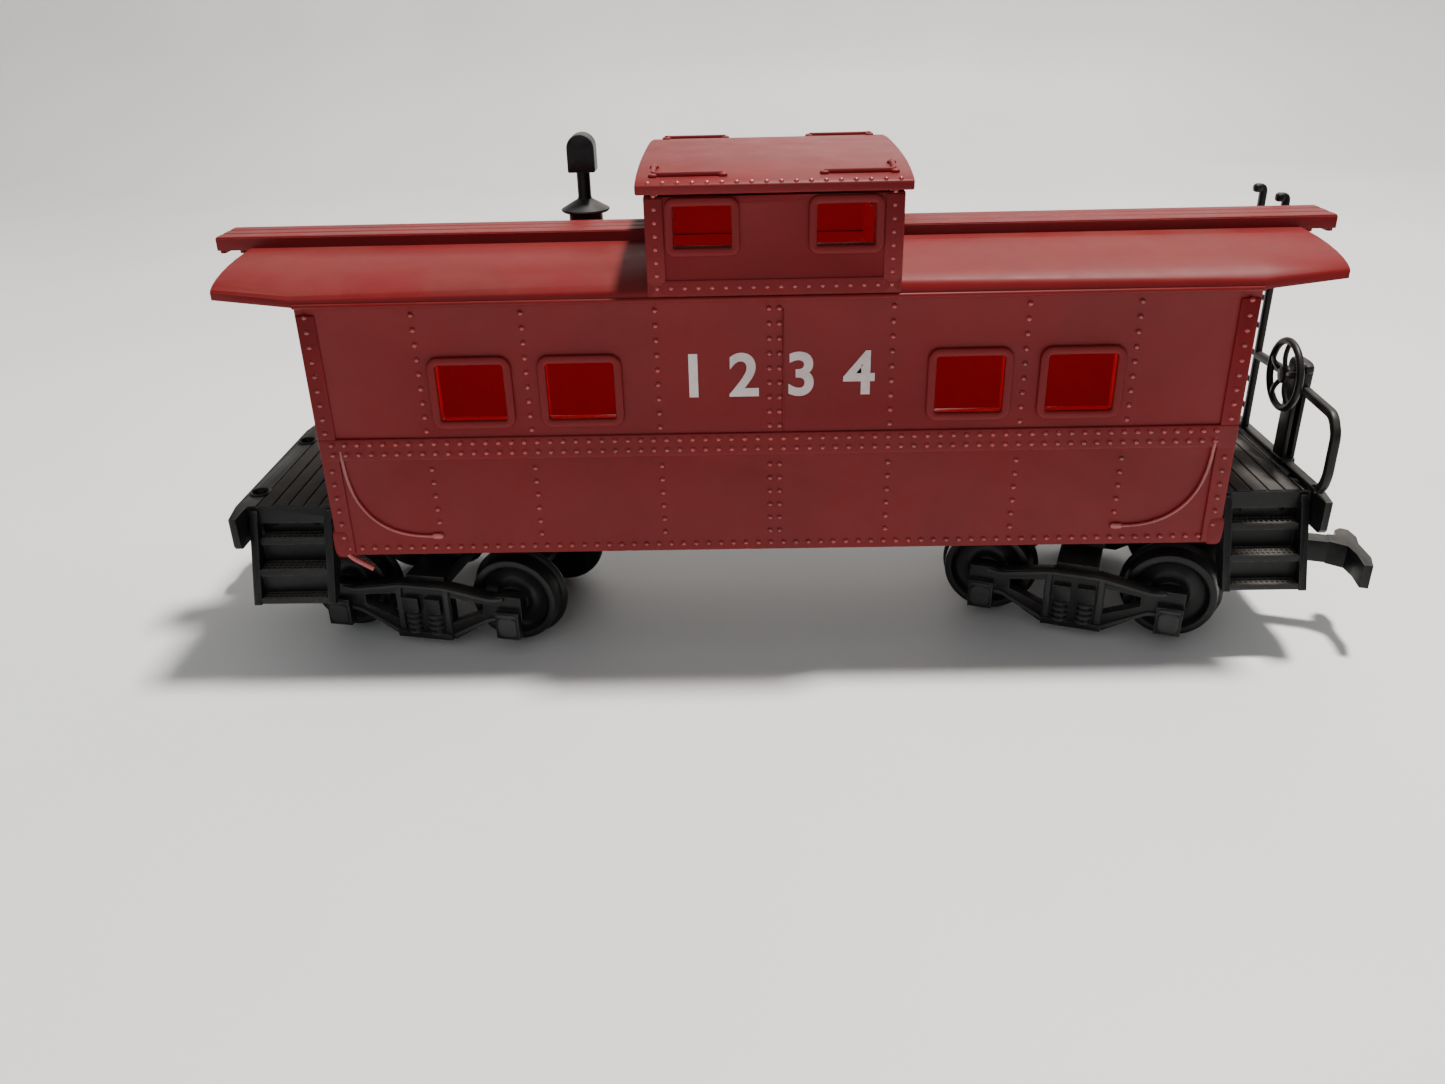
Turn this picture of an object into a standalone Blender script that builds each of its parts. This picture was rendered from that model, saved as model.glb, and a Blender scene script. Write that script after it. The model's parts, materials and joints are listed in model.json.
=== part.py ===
"""Model caboose: a moulded plastic railway van on two swivelling trucks.

The van stands on its wheel flanges at z = 0, with +X along its length (towards the end that
carries the railing) and +Z up.  Sizes below are in millimetres; meshes are made in metres.
"""

import math

import bmesh
import bpy
from mathutils import Matrix, Vector

METRES_PER_MM = 0.001
GAP = 0.3  # clearance left between pieces that touch or seat on each other

# ---- Van body shell ---------------------------------------------------------------------
BODY_LENGTH = 103.2
BODY_WIDTH = 31.2
SHELL_WALL = 1.2
SIDE_ABOVE_AXLE = 8.3  # bottom edge of the sides above the axles
SIDE_HEIGHT = 29.8
ROOF_RISE = 3.8
ROOF_THICKNESS = 1.3
ROOF_OVERHANG = 8.4
EAVE_OVERHANG = 0.55
EAVE_FACE = 0.8
EAVE_LIFT = 1.0  # how far the eave curls up at the very ends of the roof
BOARD_WIDTH = 6.4
BOARD_THICKNESS = 1.35
BOARD_STAND_UP = 1.1
BOARD_OVERHANG = 4.0

# ---- Windows and doors ------------------------------------------------------------------
WINDOW_WIDTH = 7.4
WINDOW_HEIGHT = 6.4
WINDOW_SILL = 16.6  # above the bottom edge of the side
OUTER_WINDOW_INSET = 18.1  # from the end of the body to the middle of the window
INNER_WINDOW_INSET = 30.25
END_WINDOW_WIDTH = 5.2
END_WINDOW_INSET = 6.2  # from the side of the body to the middle of the window
DOOR_LIGHT_WIDTH = 4.2

# ---- Cupola -----------------------------------------------------------------------------
CUPOLA_LENGTH = 26.8
CUPOLA_WALL = 1.1
CUPOLA_HEIGHT = 10.7  # wall top above the eave
CUPOLA_WINDOW_WIDTH = 6.0
CUPOLA_WINDOW_HEIGHT = 4.2
CUPOLA_WINDOW_INSET = 5.95  # from the cupola's end to the middle of the window
CUPOLA_END_WINDOW_INSET = 8.7
CUPOLA_WINDOW_DROP = 0.95  # from the top of the wall to the top of the opening
CUPOLA_ROOF_OVERHANG = 0.8
CUPOLA_ROOF_SIDE_OVERHANG = 0.65
CUPOLA_ROOF_FACE = 0.9
CUPOLA_ROOF_RISE = 1.4
LOCATING_RIM = 1.0

# ---- Smokejack --------------------------------------------------------------------------
SMOKEJACK_X = -22.4
SMOKEJACK_Y = 7.5
SMOKEJACK_DRUM_RADIUS = 2.0
SMOKEJACK_SKIRT_RADIUS = 2.9
SMOKEJACK_PIPE_RADIUS = 0.8
SMOKEJACK_HEIGHT = 10.6  # above the roof crown
SMOKEJACK_HOOD_WIDTH = 3.2
SMOKEJACK_HOOD_HEIGHT = 4.3
SMOKEJACK_HOOD_DEPTH = 3.0

# ---- Underframe -------------------------------------------------------------------------
FLOOR_RECESS = 1.6  # floor underside above the bottom edge of the sides
FLOOR_THICKNESS = 1.6
DECK_ABOVE_SIDE = 5.1  # deck top above the bottom edge of the sides
DECK_THICKNESS = 2.1
DECK_INSET = 2.8  # from the side of the body to the side of the deck
PLATFORM_LENGTH = 10.0  # from the end wall to the inner face of the end beam
BEAM_THICKNESS = 2.4
BEAM_END_THICKNESS = 1.8
BEAM_NOTCH = 1.0  # cut from the back of the beam's ends to clear the steps
BEAM_OVERREACH = 1.0  # beyond the side of the body
BEAM_HEIGHT = 4.0
BEAM_STAND_UP = 0.15  # above the deck
BEAM_CHAMFER = 0.5
SILL_WIDTH = 4.8
SILL_DEPTH = 2.6
BOSS_RADIUS = 2.8
SOCKET_RADIUS = 0.9
SOCKET_DEPTH = 2.2
SOCKET_INSET = 6.9  # from the side of the body
LUG_X = 25.0
LUG_SIZE = 0.8

# ---- Steps ------------------------------------------------------------------------------
STEP_PANEL = 0.9
STEP_STAND_OFF = 0.9  # from the end wall to the inner panel
STEP_OVERLAP = 0.7  # how far the outer panel reaches past the beam's inner face
STEP_ABOVE_AXLE = 2.5
STEP_FOOT_OVERREACH = 1.5  # beyond the side of the body
STEP_FOOT_WIDTH = 1.5
STEP_SHOULDER_DROP = 2.0  # from the deck top to where the panels start to lean
STEP_INNER_REACH = 4.4  # from the foot in to the rear of the top tread
STEP_TREAD_THICKNESS = 0.8
STEP_RISER_THICKNESS = 0.7
STEP_NOSING = 0.5
STEP_RISE = 3.25
STEP_FIRST_RISE = 0.7
STEP_SETBACKS = (1.9, 3.8, 5.1)  # from the foot's outer edge in to each riser
STEP_PEG_RADIUS = 0.6
STEP_PEG_HEIGHT = 1.4
STEP_PEG_SPACING = 5.0

# ---- Ballast weight ---------------------------------------------------------------------
WEIGHT_END_INSET = 15.6
WEIGHT_SIDE_INSET = 5.1
WEIGHT_THICKNESS = 2.0
WEIGHT_PEG_X = 29.0
WEIGHT_PEG_RADIUS = 1.2

# ---- End railing and brake wheel --------------------------------------------------------
RAILING_BAR = 1.0
RAILING_INSET = 0.9  # from the beam's inner face to the middle of the railing
RAILING_HEIGHT = 10.0  # rail above the top of the end beam
STAND_Y = -4.6
STAND_WIDTH = 2.8
STAND_WEB = 0.8
HOUSING_WIDTH = 3.8
HOUSING_HEIGHT = 3.8
LADDER_Y = 6.0
LADDER_WIDTH = 6.7
LADDER_STAND_UP = 5.7  # above the eave
LADDER_RUNG_COUNT = 7
BRAKE_WHEEL_RADIUS = 4.4
BRAKE_RIM = 0.8
BRAKE_STEM_RADIUS = 0.5
BRAKE_SPOKE_COUNT = 5

# ---- Trucks -----------------------------------------------------------------------------
TRUCK_YAW_RIGHT = -20.0  # degrees, as the trucks stand at rest
TRUCK_YAW_LEFT = -11.0
WHEELBASE = 22.0
OUTER_WHEEL_OVERREACH = 6.6  # of the outer wheels' rims beyond the end wall, trucks straight
FLANGE_RADIUS = 6.1
FLANGE_HEIGHT = 0.7
WHEEL_BACK_Y = 7.2  # half the distance between the backs of the wheels
FLANGE_THICKNESS = 0.8
TREAD_WIDTH = 2.3
AXLE_RADIUS = 1.0
AXLE_POINT_RADIUS = 0.35
SIDEFRAME_CLEARANCE = 0.6  # from the wheels' faces to the side frames
SIDEFRAME_THICKNESS = 1.6
SIDEFRAME_RISE = 2.4  # top of the side frames above the axles
SIDEFRAME_DROP = 4.9  # bottom of the side frames below the axles
JOURNAL_BLOCK_WIDTH = 3.6
JOURNAL_BLOCK_RISE = 1.6
JOURNAL_BLOCK_DROP = 1.8
JOURNAL_BOX_WIDTH = 3.0
JOURNAL_BOX_DEPTH = 1.0
JOURNAL_BOX_TOP = 0.1  # below the axle
JOURNAL_BOX_HEIGHT = 3.6
BEARING_CUP_DEPTH = 1.0
SPRING_X = 1.45
SPRING_RADIUS = 0.95
SPRING_HEIGHT = 3.2
SPRING_CAP_HEIGHT = 2.0
SPRING_CAP_WIDTH = 2.1
SPRING_CAP_DEPTH = 0.8
PLANK_HALF_LENGTH = 3.8
BOLSTER_LENGTH = 5.0
BOLSTER_THICKNESS = 2.8
BOLSTER_ABOVE_AXLE = 1.4
PIN_RADIUS = 1.5
PIN_HEAD_RADIUS = 2.7
PIN_HEAD_THICKNESS = 0.9

# ---- Couplers ---------------------------------------------------------------------------
COUPLER_PIVOT_BEYOND_AXLE = 3.0
COUPLER_REACH = 17.5
COUPLER_HEIGHT = 3.0
COUPLER_SHANK_WIDTH = 2.2
COUPLER_RING_RADIUS = 2.3
COUPLER_POST_RADIUS = 0.9
COUPLER_BOX_WALL = 0.9
COUPLER_BOX_WIDTH = 8.2
COUPLER_SWING_RIGHT = 2.0  # degrees, as the couplers stand at rest
COUPLER_SWING_LEFT = 0.0
TONGUE_WIDTH = 6.0

# ---- Derived sizes ----------------------------------------------------------------------
AXLE_Z = FLANGE_RADIUS
TREAD_RADIUS = FLANGE_RADIUS - FLANGE_HEIGHT
SIDE_BOTTOM_Z = AXLE_Z + SIDE_ABOVE_AXLE
BODY_HALF = BODY_LENGTH / 2
SIDE_Y = BODY_WIDTH / 2
INNER_Y = SIDE_Y - SHELL_WALL
EAVE_Z = SIDE_BOTTOM_Z + SIDE_HEIGHT
EAVE_Y = SIDE_Y + EAVE_OVERHANG
CROWN_Z = EAVE_Z + ROOF_RISE
ROOF_HALF = BODY_HALF + ROOF_OVERHANG
BOARD_TOP_Z = CROWN_Z + BOARD_STAND_UP
OUTER_WINDOW_X = BODY_HALF - OUTER_WINDOW_INSET
INNER_WINDOW_X = BODY_HALF - INNER_WINDOW_INSET
END_WINDOW_Y = SIDE_Y - END_WINDOW_INSET
FLOOR_Z = SIDE_BOTTOM_Z + FLOOR_RECESS
FLOOR_TOP_Z = FLOOR_Z + FLOOR_THICKNESS
CUPOLA_HALF = CUPOLA_LENGTH / 2
CUPOLA_TOP_Z = EAVE_Z + CUPOLA_HEIGHT
CUPOLA_WINDOW_X = CUPOLA_HALF - CUPOLA_WINDOW_INSET
CUPOLA_END_WINDOW_Y = EAVE_Y - CUPOLA_END_WINDOW_INSET
DECK_TOP_Z = SIDE_BOTTOM_Z + DECK_ABOVE_SIDE
DECK_BOTTOM_Z = DECK_TOP_Z - DECK_THICKNESS
DECK_HALF_WIDTH = SIDE_Y - DECK_INSET
BEAM_X = BODY_HALF + PLATFORM_LENGTH
BEAM_HALF_WIDTH = SIDE_Y + BEAM_OVERREACH
BEAM_TOP_Z = DECK_TOP_Z + BEAM_STAND_UP
RAILING_X = BEAM_X + RAILING_INSET
RAIL_Z = DECK_TOP_Z + RAILING_HEIGHT
SOCKET_Y = SIDE_Y - SOCKET_INSET
LADDER_TOP_Z = EAVE_Z + LADDER_STAND_UP
STEP_INNER_X = BODY_HALF + STEP_STAND_OFF
STEP_OUTER_X = BEAM_X + STEP_OVERLAP
STEP_BOTTOM_Z = AXLE_Z + STEP_ABOVE_AXLE
STEP_FOOT_Y = SIDE_Y + STEP_FOOT_OVERREACH
STEP_REAR_Y = STEP_FOOT_Y - STEP_FOOT_WIDTH - STEP_INNER_REACH
STEP_PEG_Y = STEP_REAR_Y + STEP_RISER_THICKNESS / 2
TRUCK_X = BODY_HALF + OUTER_WHEEL_OVERREACH - WHEELBASE / 2 - FLANGE_RADIUS
SIDEFRAME_INNER_Y = WHEEL_BACK_Y + FLANGE_THICKNESS + TREAD_WIDTH + SIDEFRAME_CLEARANCE
SIDEFRAME_TOP_Z = AXLE_Z + SIDEFRAME_RISE
SIDEFRAME_BOTTOM_Z = AXLE_Z - SIDEFRAME_DROP
BOLSTER_BOTTOM_Z = AXLE_Z + BOLSTER_ABOVE_AXLE
BOLSTER_TOP_Z = BOLSTER_BOTTOM_Z + BOLSTER_THICKNESS
BOSS_BOTTOM_Z = BOLSTER_TOP_Z + 1.7
COUPLER_PIVOT_X = WHEELBASE / 2 + COUPLER_PIVOT_BEYOND_AXLE
COUPLER_BOTTOM_Z = AXLE_Z + AXLE_RADIUS + GAP + COUPLER_BOX_WALL + GAP
COUPLER_TOP_Z = COUPLER_BOTTOM_Z + COUPLER_HEIGHT
BRAKE_AXIS_Z = RAIL_Z + HOUSING_HEIGHT / 2 - 0.4
ARC_STEPS = 18
ROUND_STEPS = 16
WHEEL_STEPS = 28


# ---- Mesh helpers -----------------------------------------------------------------------
def make_object(name, points, faces):
    """Builds a closed mesh from points in millimetres and returns its object."""
    mesh = bpy.data.meshes.new(name)
    mesh.from_pydata([Vector(point) * METRES_PER_MM for point in points], [], faces)
    shape = bmesh.new()
    shape.from_mesh(mesh)
    bmesh.ops.recalc_face_normals(shape, faces=shape.faces)
    shape.to_mesh(mesh)
    shape.free()
    item = bpy.data.objects.new(name, mesh)
    bpy.context.scene.collection.objects.link(item)
    return item


def loft(sections):
    """Skins equal rings of points and caps the first and the last ring."""
    count = len(sections[0])
    points = [point for section in sections for point in section]
    faces = []
    for row in range(len(sections) - 1):
        for column in range(count):
            following = (column + 1) % count
            faces.append((
                row * count + column,
                row * count + following,
                (row + 1) * count + following,
                (row + 1) * count + column,
            ))
    last = (len(sections) - 1) * count
    faces.append(tuple(range(count)))
    faces.append(tuple(range(last, last + count)))
    return make_object("piece", points, faces)


def place(axis, along, first, second):
    """Puts an outline point (first, second) at a distance along an axis."""
    if axis == "X":
        return (along, first, second)
    if axis == "Y":
        return (first, along, second)
    return (first, second, along)


def prism(outline, axis, start, end):
    """Extrudes an outline of the other two coordinates along one axis."""
    return loft([[place(axis, along, *point) for point in outline] for along in (start, end)])


def block(low, high):
    """A box between two opposite corners."""
    outline = [(low[0], low[1]), (high[0], low[1]), (high[0], high[1]), (low[0], high[1])]
    return prism(outline, "Z", low[2], high[2])


def round_outline(radius, centre=(0.0, 0.0), steps=ROUND_STEPS):
    """Points of a circle, starting straight below its centre."""
    turns = [math.tau * step / steps - math.pi / 2 for step in range(steps)]
    return [(centre[0] + radius * math.cos(a), centre[1] + radius * math.sin(a)) for a in turns]


def turned(profile, axis, centre=(0.0, 0.0), steps=ROUND_STEPS):
    """Turns a profile of (radius, distance along the axis) round an axis."""
    return loft([
        [place(axis, along, *point) for point in round_outline(radius, centre, steps)]
        for radius, along in profile
    ])


def turned_ring(profile, axis, steps):
    """Turns a closed profile that stays clear of the axis, as a rim does."""
    count = len(profile)
    points = []
    for step in range(steps):
        turn = math.tau * step / steps - math.pi / 2
        for radius, along in profile:
            points.append(place(axis, along, radius * math.cos(turn), radius * math.sin(turn)))
    faces = []
    for step in range(steps):
        following = (step + 1) % steps
        for corner in range(count):
            after = (corner + 1) % count
            faces.append((
                step * count + corner,
                step * count + after,
                following * count + after,
                following * count + corner,
            ))
    return make_object("piece", points, faces)


def bar_outline(path, width):
    """Outline of a bar of constant width along a flat open path, with mitred bends."""
    left = []
    right = []
    for index, point in enumerate(path):
        before = Vector(path[max(index - 1, 0)])
        after = Vector(path[min(index + 1, len(path) - 1)])
        here = Vector(point)
        incoming = (here - before).normalized() if index else (after - here).normalized()
        outgoing = (after - here).normalized() if index < len(path) - 1 else incoming
        normal = Vector((-incoming.y - outgoing.y, incoming.x + outgoing.x)).normalized()
        reach = width / 2 / normal.dot(Vector((-incoming.y, incoming.x)))
        left.append(tuple(here + normal * reach))
        right.append(tuple(here - normal * reach))
    return left + right[::-1]


def apply_boolean(target, tool, operation):
    """Joins a tool to the target, or cuts it away, and removes the tool."""
    modifier = target.modifiers.new("shape", "BOOLEAN")
    modifier.operation = operation
    modifier.solver = "EXACT"
    modifier.object = tool
    graph = bpy.context.evaluated_depsgraph_get()
    result = bpy.data.meshes.new_from_object(target.evaluated_get(graph))
    previous = target.data
    target.modifiers.clear()
    target.data = result
    bpy.data.meshes.remove(previous)
    bpy.data.objects.remove(tool)


def union(pieces):
    """Fuses overlapping pieces into one solid."""
    whole = pieces[0]
    for piece in pieces[1:]:
        apply_boolean(whole, piece, "UNION")
    return whole


def subtract(whole, cutters):
    """Cuts several solids away from one."""
    for cutter in cutters:
        apply_boolean(whole, cutter, "DIFFERENCE")
    return whole


def tidy_mesh(item):
    """Merges doubled points and melts flat faces together."""
    shape = bmesh.new()
    shape.from_mesh(item.data)
    bmesh.ops.remove_doubles(shape, verts=shape.verts, dist=0.00001)
    bmesh.ops.dissolve_limit(
        shape, angle_limit=math.radians(0.5), verts=shape.verts, edges=shape.edges
    )
    shape.to_mesh(item.data)
    shape.free()


# ---- Materials --------------------------------------------------------------------------
def finish(name, colour, roughness, metallic=0.0):
    """A plain Principled material."""
    material = bpy.data.materials.new(name)
    material.use_nodes = True
    shader = material.node_tree.nodes["Principled BSDF"]
    shader.inputs["Base Color"].default_value = (*colour, 1.0)
    shader.inputs["Roughness"].default_value = roughness
    shader.inputs["Metallic"].default_value = metallic
    return material


def red_plastic():
    return finish("red_plastic", (0.33, 0.028, 0.03), 0.5)


def black_plastic():
    return finish("black_plastic", (0.014, 0.014, 0.015), 0.45)


def grey_steel():
    return finish("grey_steel", (0.36, 0.35, 0.33), 0.4, 1.0)


def named(item, name, material, parent=None):
    """Gives a finished solid its node name, material and parent."""
    item.name = name
    item.data.name = name
    item.data.materials.clear()
    item.data.materials.append(material)
    tidy_mesh(item)
    item.data.shade_smooth()
    item.data.set_sharp_from_angle(angle=math.radians(32))
    item.parent = parent
    return item


def pivot(name, location, turn_degrees=0.0, parent=None):
    """An empty that carries the pieces which turn about its Z axis."""
    empty = bpy.data.objects.new(name, None)
    bpy.context.scene.collection.objects.link(empty)
    empty.location = Vector(location) * METRES_PER_MM
    empty.rotation_euler.z = math.radians(turn_degrees)
    empty.parent = parent
    return empty


# ---- Van body ---------------------------------------------------------------------------
def roof_arc(half_width, base, crown):
    """A flat bow that rounds down steeply at its two edges, from +Y to -Y."""
    points = []
    for step in range(ARC_STEPS + 1):
        share = math.cos(math.pi * step / ARC_STEPS)
        height = (1.0 - abs(share) ** 2.6) ** 0.62
        points.append((share * half_width, base + (crown - base) * height))
    return points


def roof_section(x, lift):
    """The roof's closed cross-section at x, with its eaves lifted by a small amount."""
    inner_y = EAVE_Y - EAVE_FACE * 1.4
    eave = EAVE_Z + lift
    outer = roof_arc(EAVE_Y, eave + EAVE_FACE, CROWN_Z)
    inner = roof_arc(inner_y, eave, CROWN_Z - ROOF_THICKNESS)[::-1]
    ring = [(EAVE_Y, eave)] + outer + [(-EAVE_Y, eave)] + inner
    return [(x, y, z) for y, z in ring]


def roof_skin():
    stations = (
        (-ROOF_HALF, EAVE_LIFT),
        (-BODY_HALF, 0.0),
        (BODY_HALF, 0.0),
        (ROOF_HALF, EAVE_LIFT),
    )
    return loft([roof_section(x, lift) for x, lift in stations])


def end_wall(side):
    """An end wall whose top follows the middle of the roof's thickness."""
    crown = CROWN_Z - ROOF_THICKNESS / 2
    bottom = DECK_TOP_Z + GAP
    arc = roof_arc(SIDE_Y - 0.1, EAVE_Z + EAVE_FACE / 2, crown)
    outline = [(SIDE_Y - 0.1, bottom)] + arc + [(0.1 - SIDE_Y, bottom)]
    return prism(outline, "X", side * BODY_HALF, side * (BODY_HALF - SHELL_WALL))


def side_walls():
    top = EAVE_Z + EAVE_FACE
    return [
        block(
            (-BODY_HALF, min(side * INNER_Y, side * SIDE_Y), SIDE_BOTTOM_Z),
            (BODY_HALF, max(side * INNER_Y, side * SIDE_Y), top),
        )
        for side in (1, -1)
    ]


def window_cutters():
    """Cutters for the openings in the sides, the ends and the cupola."""
    sill = SIDE_BOTTOM_Z + WINDOW_SILL
    beyond = BODY_HALF + ROOF_OVERHANG
    cutters = []
    for x in (-OUTER_WINDOW_X, -INNER_WINDOW_X, INNER_WINDOW_X, OUTER_WINDOW_X):
        low = (x - WINDOW_WIDTH / 2, -beyond, sill)
        high = (x + WINDOW_WIDTH / 2, beyond, sill + WINDOW_HEIGHT)
        cutters.append(block(low, high))
    end_openings = (
        (-END_WINDOW_Y, END_WINDOW_WIDTH),
        (0.0, DOOR_LIGHT_WIDTH),
        (END_WINDOW_Y, END_WINDOW_WIDTH),
    )
    for y, width in end_openings:
        low = (-beyond, y - width / 2, sill)
        high = (beyond, y + width / 2, sill + WINDOW_HEIGHT)
        cutters.append(block(low, high))
    top = CUPOLA_TOP_Z - CUPOLA_WINDOW_DROP
    bottom = top - CUPOLA_WINDOW_HEIGHT
    half = CUPOLA_WINDOW_WIDTH / 2
    for side in (1, -1):
        x = side * CUPOLA_WINDOW_X
        y = side * CUPOLA_END_WINDOW_Y
        end = CUPOLA_HALF + 1.0
        cutters.append(block((x - half, -beyond, bottom), (x + half, beyond, top)))
        cutters.append(block((-end, y - half, bottom), (end, y + half, top)))
    return cutters


def snap_lugs():
    """Small ledges inside the sides that hold the floor from below."""
    top = FLOOR_Z - GAP
    lugs = []
    for x in (-LUG_X, LUG_X):
        for side in (1, -1):
            inner = side * (INNER_Y - LUG_SIZE)
            outer = side * (INNER_Y + SHELL_WALL / 2)
            low = (x - 2.0, min(inner, outer), top - LUG_SIZE)
            high = (x + 2.0, max(inner, outer), top)
            lugs.append(block(low, high))
    return lugs


def body_shell(material):
    """Sides, ends, roof, running board and cupola walls, moulded as one shell."""
    board_end = ROOF_HALF + BOARD_OVERHANG
    board = block(
        (-board_end, -BOARD_WIDTH / 2, BOARD_TOP_Z - BOARD_THICKNESS),
        (board_end, BOARD_WIDTH / 2, BOARD_TOP_Z),
    )
    cupola = block((-CUPOLA_HALF, -EAVE_Y, EAVE_Z), (CUPOLA_HALF, EAVE_Y, CUPOLA_TOP_Z))
    inside_x = CUPOLA_HALF - CUPOLA_WALL
    inside_y = EAVE_Y - CUPOLA_WALL
    above = CUPOLA_TOP_Z + 1.0
    shell = union([roof_skin(), *side_walls(), end_wall(1), end_wall(-1), board, cupola])
    subtract(shell, [
        block((-inside_x, -inside_y, EAVE_Z + EAVE_FACE), (inside_x, inside_y, above)),
        block((-inside_x, -INNER_Y, EAVE_Z - 1.0), (inside_x, INNER_Y, above)),
        *window_cutters(),
    ])
    union([shell, *snap_lugs()])
    return named(shell, "body_shell", material)


def cupola_roof(material):
    """The cupola's own bowed roof, with a rim below that drops inside the walls."""
    bottom = CUPOLA_TOP_Z + GAP
    half_x = CUPOLA_HALF + CUPOLA_ROOF_OVERHANG
    half_y = EAVE_Y + CUPOLA_ROOF_SIDE_OVERHANG
    face_top = bottom + CUPOLA_ROOF_FACE
    arc = roof_arc(half_y, face_top, face_top + CUPOLA_ROOF_RISE)
    outline = [(half_y, bottom)] + arc + [(-half_y, bottom)]
    slab = prism(outline, "X", -half_x, half_x)
    rim_x = CUPOLA_HALF - CUPOLA_WALL - GAP
    rim_y = EAVE_Y - CUPOLA_WALL - GAP
    rim = block(
        (-rim_x, -rim_y, bottom - CUPOLA_WINDOW_DROP + GAP),
        (rim_x, rim_y, bottom + LOCATING_RIM / 2),
    )
    hollow_x = rim_x - LOCATING_RIM
    hollow_y = rim_y - LOCATING_RIM
    hollow = block(
        (-hollow_x, -hollow_y, bottom - LOCATING_RIM),
        (hollow_x, hollow_y, bottom + CUPOLA_ROOF_FACE / 3),
    )
    roof = subtract(union([slab, rim]), [hollow])
    return named(roof, "cupola_roof", material)


def smokejack(material):
    """A stove chimney: drum and skirt on the roof, a pipe and an arched hood."""
    base = CROWN_Z + GAP
    top = CROWN_Z + SMOKEJACK_HEIGHT
    centre = (SMOKEJACK_X, SMOKEJACK_Y)
    skirt = base + 1.5
    hood_bottom = top - SMOKEJACK_HOOD_HEIGHT
    stack = turned([
        (SMOKEJACK_DRUM_RADIUS, base),
        (SMOKEJACK_DRUM_RADIUS, skirt - 0.3),
        (SMOKEJACK_SKIRT_RADIUS, skirt),
        (SMOKEJACK_SKIRT_RADIUS - 0.3, skirt + 0.4),
        (SMOKEJACK_PIPE_RADIUS, skirt + 1.4),
        (SMOKEJACK_PIPE_RADIUS, hood_bottom + 1.0),
    ], "Z", centre)
    half = SMOKEJACK_HOOD_WIDTH / 2
    spring = top - half
    arch = [
        (SMOKEJACK_X + half * math.cos(math.pi * step / 8), spring + half * math.sin(math.pi * step / 8))
        for step in range(9)
    ]
    outline = [(SMOKEJACK_X + half, hood_bottom)] + arch + [(SMOKEJACK_X - half, hood_bottom)]
    depth = SMOKEJACK_HOOD_DEPTH / 2
    hood = prism(outline, "Y", SMOKEJACK_Y - depth, SMOKEJACK_Y + depth)
    return named(union([stack, hood]), "smokejack", material)


# ---- Underframe -------------------------------------------------------------------------
def end_platform(end):
    """Deck and end beam of one end."""
    deck_start = BODY_HALF - SHELL_WALL - 1.0
    x_ends = sorted((end * deck_start, end * (BEAM_X + 0.2)))
    half = DECK_HALF_WIDTH
    deck = block((x_ends[0], -half, DECK_BOTTOM_Z), (x_ends[1], half, DECK_TOP_Z))
    quarter = [
        (BEAM_X, half),
        (BEAM_X + BEAM_NOTCH, half),
        (BEAM_X + BEAM_NOTCH, BEAM_HALF_WIDTH),
        (BEAM_X + BEAM_END_THICKNESS, BEAM_HALF_WIDTH),
        (BEAM_X + BEAM_THICKNESS, half),
    ]
    outline = [(end * x, y) for x, y in quarter + [(x, -y) for x, y in quarter[::-1]]]
    bottom = BEAM_TOP_Z - BEAM_HEIGHT
    beam = prism(outline, "Z", bottom, BEAM_TOP_Z)
    reach = BEAM_HALF_WIDTH + 1.0
    corners = []
    for side in (1, -1):
        wedge = [
            (side * reach, bottom + BEAM_CHAMFER + 1.0),
            (side * (reach - BEAM_CHAMFER - 2.0), bottom - 1.0),
            (side * reach, bottom - 1.0),
        ]
        corners.append(prism(wedge, "X", end * (BEAM_X - 1.0), end * (BEAM_X + BEAM_THICKNESS + 1.0)))
    return [deck, subtract(beam, corners)]


def underframe(material):
    """Floor, centre sill, truck bosses, end platforms, railing sockets and step holes."""
    floor_half = BODY_HALF - SHELL_WALL - GAP
    floor_y = INNER_Y - GAP
    pieces = [block((-floor_half, -floor_y, FLOOR_Z), (floor_half, floor_y, FLOOR_TOP_Z))]
    sill_half = TRUCK_X - BOSS_RADIUS / 2
    pieces.append(block(
        (-sill_half, -SILL_WIDTH / 2, FLOOR_Z - SILL_DEPTH),
        (sill_half, SILL_WIDTH / 2, FLOOR_Z + 0.1),
    ))
    cutters = []
    for end in (1, -1):
        pieces += end_platform(end)
        for side in (1, -1):
            socket = (end * RAILING_X, side * SOCKET_Y)
            rims = [(SOCKET_RADIUS, BEAM_TOP_Z - SOCKET_DEPTH), (SOCKET_RADIUS, BEAM_TOP_Z + 1.0)]
            cutters.append(turned(rims, "Z", socket, 12))
            hole = STEP_PEG_RADIUS + GAP
            for x in step_peg_places():
                rims = [(hole, DECK_BOTTOM_Z - 1.0), (hole, DECK_BOTTOM_Z + STEP_PEG_HEIGHT)]
                cutters.append(turned(rims, "Z", (end * x, side * STEP_PEG_Y), 12))
        centre = (end * TRUCK_X, 0.0)
        boss = [(BOSS_RADIUS, BOSS_BOTTOM_Z), (BOSS_RADIUS, FLOOR_Z + 0.1)]
        pieces.append(turned(boss, "Z", centre))
        bore = PIN_RADIUS + GAP
        cutters.append(turned(
            [(bore, BOSS_BOTTOM_Z - 1.0), (bore, FLOOR_TOP_Z - FLOOR_THICKNESS / 3)], "Z", centre
        ))
    for x in (-WEIGHT_PEG_X, WEIGHT_PEG_X):
        top = FLOOR_TOP_Z + GAP + WEIGHT_THICKNESS + 0.7
        peg = [(WEIGHT_PEG_RADIUS, FLOOR_TOP_Z - 0.2), (WEIGHT_PEG_RADIUS, top)]
        pieces.append(turned(peg, "Z", (x, 0.0), 12))
    frame = subtract(union(pieces), cutters)
    return named(frame, "underframe", material)


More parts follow.
